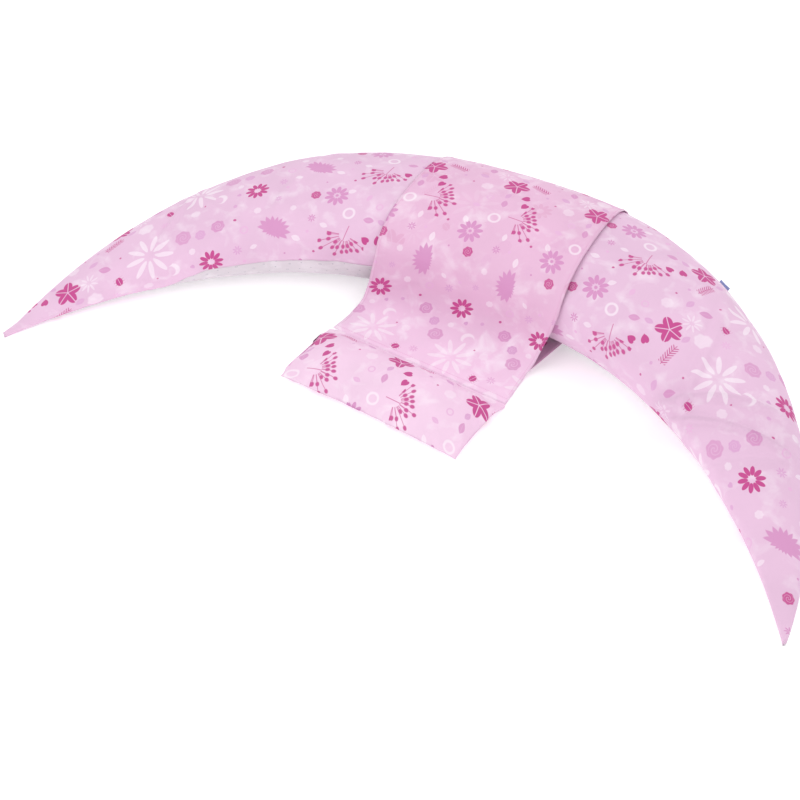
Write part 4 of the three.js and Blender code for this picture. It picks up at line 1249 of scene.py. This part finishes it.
def zip_coil(prefix, material):
    """The closed coil: two rows of loops that mesh, one from each tape."""
    line, across = zip_line(prefix)
    tangent = np.gradient(line, axis=0)
    tangent /= np.linalg.norm(tangent, axis=1, keepdims=True)
    left = line + across * COIL_HALF
    right = line - across * COIL_HALF + tangent * COIL_PITCH / 2
    return beads(prefix + "_teeth", [left, right[:-1]], COIL_PITCH, 1.75 * MM, 0.52 * MM, material, across)


def bevelled_copy(node, name, width, material):
    """A copy of a rigid CAD piece with its edges eased."""
    made = frame["nodes"][node].copy()
    made.data = frame["nodes"][node].data.copy()
    made.name = made.data.name = name
    made.parent = None
    for key in [key for key in made.keys() if key.startswith("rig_")]:
        del made[key]
    bpy.context.scene.collection.objects.link(made)
    work = bmesh.new()
    work.from_mesh(made.data)
    bmesh.ops.remove_doubles(work, verts=work.verts, dist=1e-6)
    bmesh.ops.dissolve_limit(work, angle_limit=math.radians(3), verts=work.verts, edges=work.edges)
    work.to_mesh(made.data)
    work.free()
    ease = made.modifiers.new("ease", "BEVEL")
    ease.width = width
    ease.segments = 3
    ease.limit_method = "ANGLE"
    ease.angle_limit = math.radians(25)
    settle(made)
    shade(made, material)
    return made


def folded_tag(node, name, material, curl, longer=1.0, lean=0.0):
    """A tag: a ribbon folded in two, its ends caught in the seam, its fold standing out and leaning up."""
    points = node_points(node)
    middle = points.mean(0)
    _, _, axes = np.linalg.svd(np.unique(np.round(points, 6), axis=0) - middle)
    spans = [np.ptp((points - middle) @ axis) for axis in axes]
    along, out, thin = (axes[i] for i in np.argsort(spans)[::-1])
    width, reach, _ = sorted(spans, reverse=True)
    out = out * np.sign(out[:2] @ middle[:2])
    thin = thin * np.sign(thin[2])
    root = middle - out * reach / 2
    reach *= longer
    # The ribbon from one end round its fold to the other: distance from the root, and height
    fold, gap, belly = 0.5 * MM, 0.16 * MM, 0.25 * MM
    shares = np.linspace(0, 1, 12)
    upper = [(-reach / 2 + s * (reach - fold), gap + belly * math.sin(math.pi * s)) for s in shares]
    bend = [(reach / 2 - fold + fold * math.cos(turn), gap * math.sin(turn))
            for turn in np.linspace(math.pi / 2, -math.pi / 2, 9)[1:-1]]
    lower = [(-reach / 2 + s * (reach - fold), -gap - belly * math.sin(math.pi * s)) for s in shares[::-1]]
    grid = []
    for x in (np.linspace(0, 1, 22) - 0.5) * width:
        row = []
        for place, up in upper + bend + lower:
            gone = place + reach / 2
            wavy = curl * math.sin(math.pi * (x / width + 0.5)) * (gone / reach) ** 2
            turn = lean * min(1, gone / (0.6 * reach))
            ahead = gone * math.cos(turn / 1.6) * out + gone * math.sin(turn / 1.6) * thin
            face = math.cos(turn) * thin - math.sin(turn) * out
            row.append(root + along * x + ahead + face * (up + wavy))
        grid.append(row)
    grid = np.array(grid)
    piece = put(name, grid.reshape(-1, 3), grid_faces(*grid.shape[:2]))
    wall = piece.modifiers.new("wall", "SOLIDIFY")
    wall.thickness = 0.14 * MM
    wall.offset = 0
    settle(piece)
    tidy_normals(piece)
    shade(piece, material)
    return piece


# ---- operators ----

def use_settings(context):
    """Reads the scene's sizes and colours before a piece is built."""
    global SIZE, COLOUR
    SIZE, COLOUR = context.scene.pillow_sizes, context.scene.pillow_colours


def declare(piece, body, node):
    """Hangs a finished piece on the body that it rides on, and hides the CAD node that it stands for."""
    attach(piece, body)
    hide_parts(node)


class PILLOW_OT_crescent(bpy.types.Operator):
    """Builds the crescent's cover: its printed upper panel and its off-white underside."""

    bl_idname = "pillow.crescent"
    bl_label = "Crescent cover"

    def execute(self, context):
        use_settings(context)
        top = crescent_panel("crescent_top", 1, cotton("printed_cotton", COLOUR.ground), FLORAL_TILE)
        base = crescent_panel("crescent_underside", -1, cotton("plain_cotton", COLOUR.underside), FINE_TILE)
        declare(top, "crescent", "cover_top_panel")
        declare(base, "crescent", "cover_base_panel")
        return {"FINISHED"}


class PILLOW_OT_filling(bpy.types.Operator):
    """Builds the crescent's inner case and its loose fibre filling."""

    bl_idname = "pillow.filling"
    bl_label = "Crescent filling"

    def execute(self, context):
        use_settings(context)
        ticking = plain_cloth("cotton_ticking", COLOUR.ticking, 1.2 * MM)
        fibre = plain_cloth("polyester_fibre", COLOUR.fibre, 4 * MM, 1.0, 0.9)
        for name, node, side, columns in (("inner_case_top_cloth", "inner_case_top", 1, 32),
                                          ("inner_case_base_cloth", "inner_case_base", -1, 36)):
            grid = crescent_grid(side, 150, columns, depth=4.5 * MM, tucked=False)[0]
            declare(inner_shell(name, grid[8:-8], side, ticking), "crescent", node)
        top, base = (crescent_grid(side, 150, 32, depth=7 * MM, tucked=False)[0][10:-10] for side in (1, -1))
        piece = closed_half_pair("loose_fibre", top, base, fibre, 1.5 * MM)
        declare(piece, "crescent", "fibre_fill")
        return {"FINISHED"}


class PILLOW_OT_band(bpy.types.Operator):
    """Builds the band's upper and lower cloth, with the flap."""

    bl_idname = "pillow.band"
    bl_label = "Band and flap"

    def execute(self, context):
        use_settings(context)
        # The band's cotton, painted lighter on the flap as painted light
        cloth = cotton("band_cotton", COLOUR.band_ground, ghost=True, painted_light_ground=COLOUR.flap_ground)
        thread = plain_cloth("polyester_thread", COLOUR.thread, 0.6 * MM, 0.6, 0.1)
        upper, rows, outward = band_piece(cloth)
        over = rows + outward * 0.15 * MM
        last = rows.shape[1] - 1
        inset = round(7 * MM / (SIZE.band_width / last))
        lines = [over[2:-4, inset], over[2:-4, last - inset], over[-3, inset:last + 1 - inset]]
        stitches = beads("band_stitches", lines, 3.4 * MM, 2.7 * MM, 0.34 * MM, thread)
        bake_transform(stitches)
        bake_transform(upper)
        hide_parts("sleeve_top_panel", "flap_upper_ply")
        lower = under_band(cloth)
        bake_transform(lower)
        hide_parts("sleeve_base_panel", "flap_lower_ply")
        return {"FINISHED"}


class PILLOW_OT_mini_pillow(bpy.types.Operator):
    """Builds the mini pillow at the flap's end, with its pad."""

    bl_idname = "pillow.mini_pillow"
    bl_label = "Mini pillow"

    def execute(self, context):
        use_settings(context)
        pieces = pillow_cover(cotton("pillow_cotton", COLOUR.pillow_ground))
        for piece, node in zip(pieces, ("mini_cover_top", "mini_cover_base")):
            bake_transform(piece)
            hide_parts(node)
        ticking = plain_cloth("pad_ticking", COLOUR.ticking, 1.2 * MM)
        fibre = plain_cloth("pad_fibre", COLOUR.fibre, 4 * MM, 1.0, 0.9)
        for name, node, side in (("pad_case_top", "mini_case_top", 1),
                                 ("pad_case_base", "mini_case_base", -1)):
            grid = pillow_grid(side, 40, 24, depth=9 * MM, slack=3 * MM)
            declare(inner_shell(name, grid, side, ticking), "mini_pillow", node)
        top, base = (pillow_grid(side, 40, 24, depth=12 * MM, slack=side * 3 * MM) for side in (1, -1))
        piece = closed_half_pair("pad_filling", top, base, fibre, 1.0 * MM)
        declare(piece, "mini_pillow", "mini_fill")
        return {"FINISHED"}


class PILLOW_OT_zips(bpy.types.Operator):
    """Builds both zips: coil, slider and pull, and finishes their tapes and stops."""

    bl_idname = "pillow.zips"
    bl_label = "Zips"

    def execute(self, context):
        use_settings(context)
        tape = plain_cloth("woven_polyester_tape", COLOUR.tape, 0.7 * MM, 0.85)
        coil = plain_cloth("nylon_coil", COLOUR.tape, 3 * MM, 0.45, 0.08)
        metal = nickel()
        for prefix, base, slider, pull in (("cover_zip", "crescent", "cover_slider", "cover_pull"),
                                           ("mini_zip", "mini_pillow", "mini_slider", "mini_pull")):
            if prefix == "mini_zip":
                self.sewn_tapes(tape)
            else:
                for node in ("_upper_tape", "_lower_tape"):
                    paint(frame["nodes"][prefix + node], tape)
            for node in ("_start_stop", "_end_stop"):
                paint(frame["nodes"][prefix + node], metal)
            declare(zip_coil(prefix, coil), base, prefix + "_coil")
            for node, name, body, width in (("_slider", "_slider_body", slider, 0.25 * MM),
                                            ("_pull", "_pull_tab", pull, 0.3 * MM)):
                piece = bevelled_copy(prefix + node, prefix + name, width, metal)
                declare(piece, body, prefix + node)
        return {"FINISHED"}

    def sewn_tapes(self, tape):
        """The mini zip's tapes, of which the cover's edges leave only a narrow strip to see."""
        for node, edge in (("mini_zip_upper_tape", 0), ("mini_zip_lower_tape", 1)):
            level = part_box(node)[edge].z
            piece = bevelled_copy(node, node + "_strip", 0.12 * MM, tape)
            for point in piece.data.vertices:
                point.co.z = level + (point.co.z - level) * TAPE_SHOWN
            declare(piece, "mini_pillow", node)


class PILLOW_OT_tags(bpy.types.Operator):
    """Builds the blank woven tag and the blank care label in the outer seam."""

    bl_idname = "pillow.tags"
    bl_label = "Tags"

    def execute(self, context):
        use_settings(context)
        woven = plain_cloth("woven_satin_tag", COLOUR.label, 0.5 * MM, 0.55)
        satin = plain_cloth("satin_care_tape", COLOUR.care, 0.5 * MM, 0.4, 0.15)
        for node, name, material, slot, longer, lean in (
                ("side_label", "side_tag", woven, "woven_label", 1.9, 1.45),
                ("care_label", "care_tag", satin, "care_tape", 1.0, -0.3)):
            declare(folded_tag(node, name, material, 0.8 * MM, longer, lean), "crescent", node)
        return {"FINISHED"}


class PILLOW_OT_stage(bpy.types.Operator):
    """Builds the pale floor, the soft lights and the camera."""

    bl_idname = "pillow.stage"
    bl_label = "Stage"

    def execute(self, context):
        reach = FLOOR_REACH
        floor = put("floor", [(-reach, -reach, 0), (reach, -reach, 0), (reach, reach, 0), (-reach, reach, 0)],
                    [(0, 1, 2, 3)])
        floor.location.z = -0.4 * MM
        paint(floor, self.paper())
        scene = context.scene
        scene.world = bpy.data.worlds.new("soft_studio")
        scene.world.use_nodes = True
        sky = scene.world.node_tree.nodes["Background"]
        sky.inputs["Color"].default_value = WHITE_LIGHT
        sky.inputs["Strength"].default_value = SKY_STRENGTH
        for name, spot, wide, power in LAMPS:
            light = link(name, bpy.data.lights.new(name, "AREA"))
            light.data.size = wide
            light.data.energy = power
            self.aim(light, Vector(spot), Vector((0, 0, 0.1)))
        scene.view_settings.view_transform = "Standard"
        camera = link("camera", bpy.data.cameras.new("camera"))
        camera.data.lens = CAMERA_LENS
        azimuth, elevation = math.radians(CAMERA_AZIMUTH), math.radians(CAMERA_ELEVATION)
        back = Vector((math.sin(azimuth) * math.cos(elevation), -math.cos(azimuth) * math.cos(elevation),
                       math.sin(elevation)))
        target = Vector(CAMERA_TARGET)
        self.aim(camera, target + back * CAMERA_DISTANCE, target)
        scene.camera = camera
        return {"FINISHED"}

    def aim(self, thing, spot, target):
        """Places a light or the camera, and turns it to a target."""
        thing.location = spot
        thing.rotation_mode = "QUATERNION"
        thing.rotation_quaternion = (target - spot).to_track_quat("-Z", "Y")

    def paper(self):
        """Matt paper sweep: a bright, even, faintly fibrous white, with a little light of its own."""
        material, tree, shader, where = new_material(
            "matt_paper_sweep", Base_Color=(0.92, 0.92, 0.92, 1), Roughness=0.9,
            Emission_Color=WHITE_LIGHT, Emission_Strength=0.3)
        grain = add(tree, "ShaderNodeTexNoise", inputs={"Vector": where, "Scale": 300.0, "Detail": 2.0})
        relief = add(tree, "ShaderNodeBump", inputs={"Height": grain, "Strength": 0.05, "Distance": 0.2 * MM})
        tree.links.new(relief.outputs[0], shader.inputs["Normal"])
        return material


class PILLOW_PT_panel(bpy.types.Panel):
    """Lists the operators that build the nursing pillow."""

    bl_idname = "PILLOW_PT_panel"
    bl_label = "Nursing Pillow"
    bl_space_type = "VIEW_3D"
    bl_region_type = "UI"
    bl_category = "Nursing Pillow"

    def draw(self, context):
        for operator in OPERATORS:
            self.layout.operator(operator.bl_idname)


OPERATORS = (PILLOW_OT_stage, PILLOW_OT_crescent, PILLOW_OT_filling, PILLOW_OT_band, PILLOW_OT_mini_pillow,
             PILLOW_OT_zips, PILLOW_OT_tags)
CLASSES = (PillowSizes, PillowColours, *OPERATORS, PILLOW_PT_panel)


def register():
    """Registers the classes and the scene's settings."""
    for kind in CLASSES:
        bpy.utils.register_class(kind)
    bpy.types.Scene.pillow_sizes = bpy.props.PointerProperty(type=PillowSizes)
    bpy.types.Scene.pillow_colours = bpy.props.PointerProperty(type=PillowColours)


def unregister():
    """Takes the settings and the classes away again."""
    del bpy.types.Scene.pillow_sizes
    del bpy.types.Scene.pillow_colours
    for kind in reversed(CLASSES):
        bpy.utils.unregister_class(kind)


def main():
    """Builds everything in order."""
    register()
    for operator in OPERATORS:
        getattr(bpy.ops.pillow, operator.bl_idname.split(".")[1])()


if __name__ == "__main__":
    main()
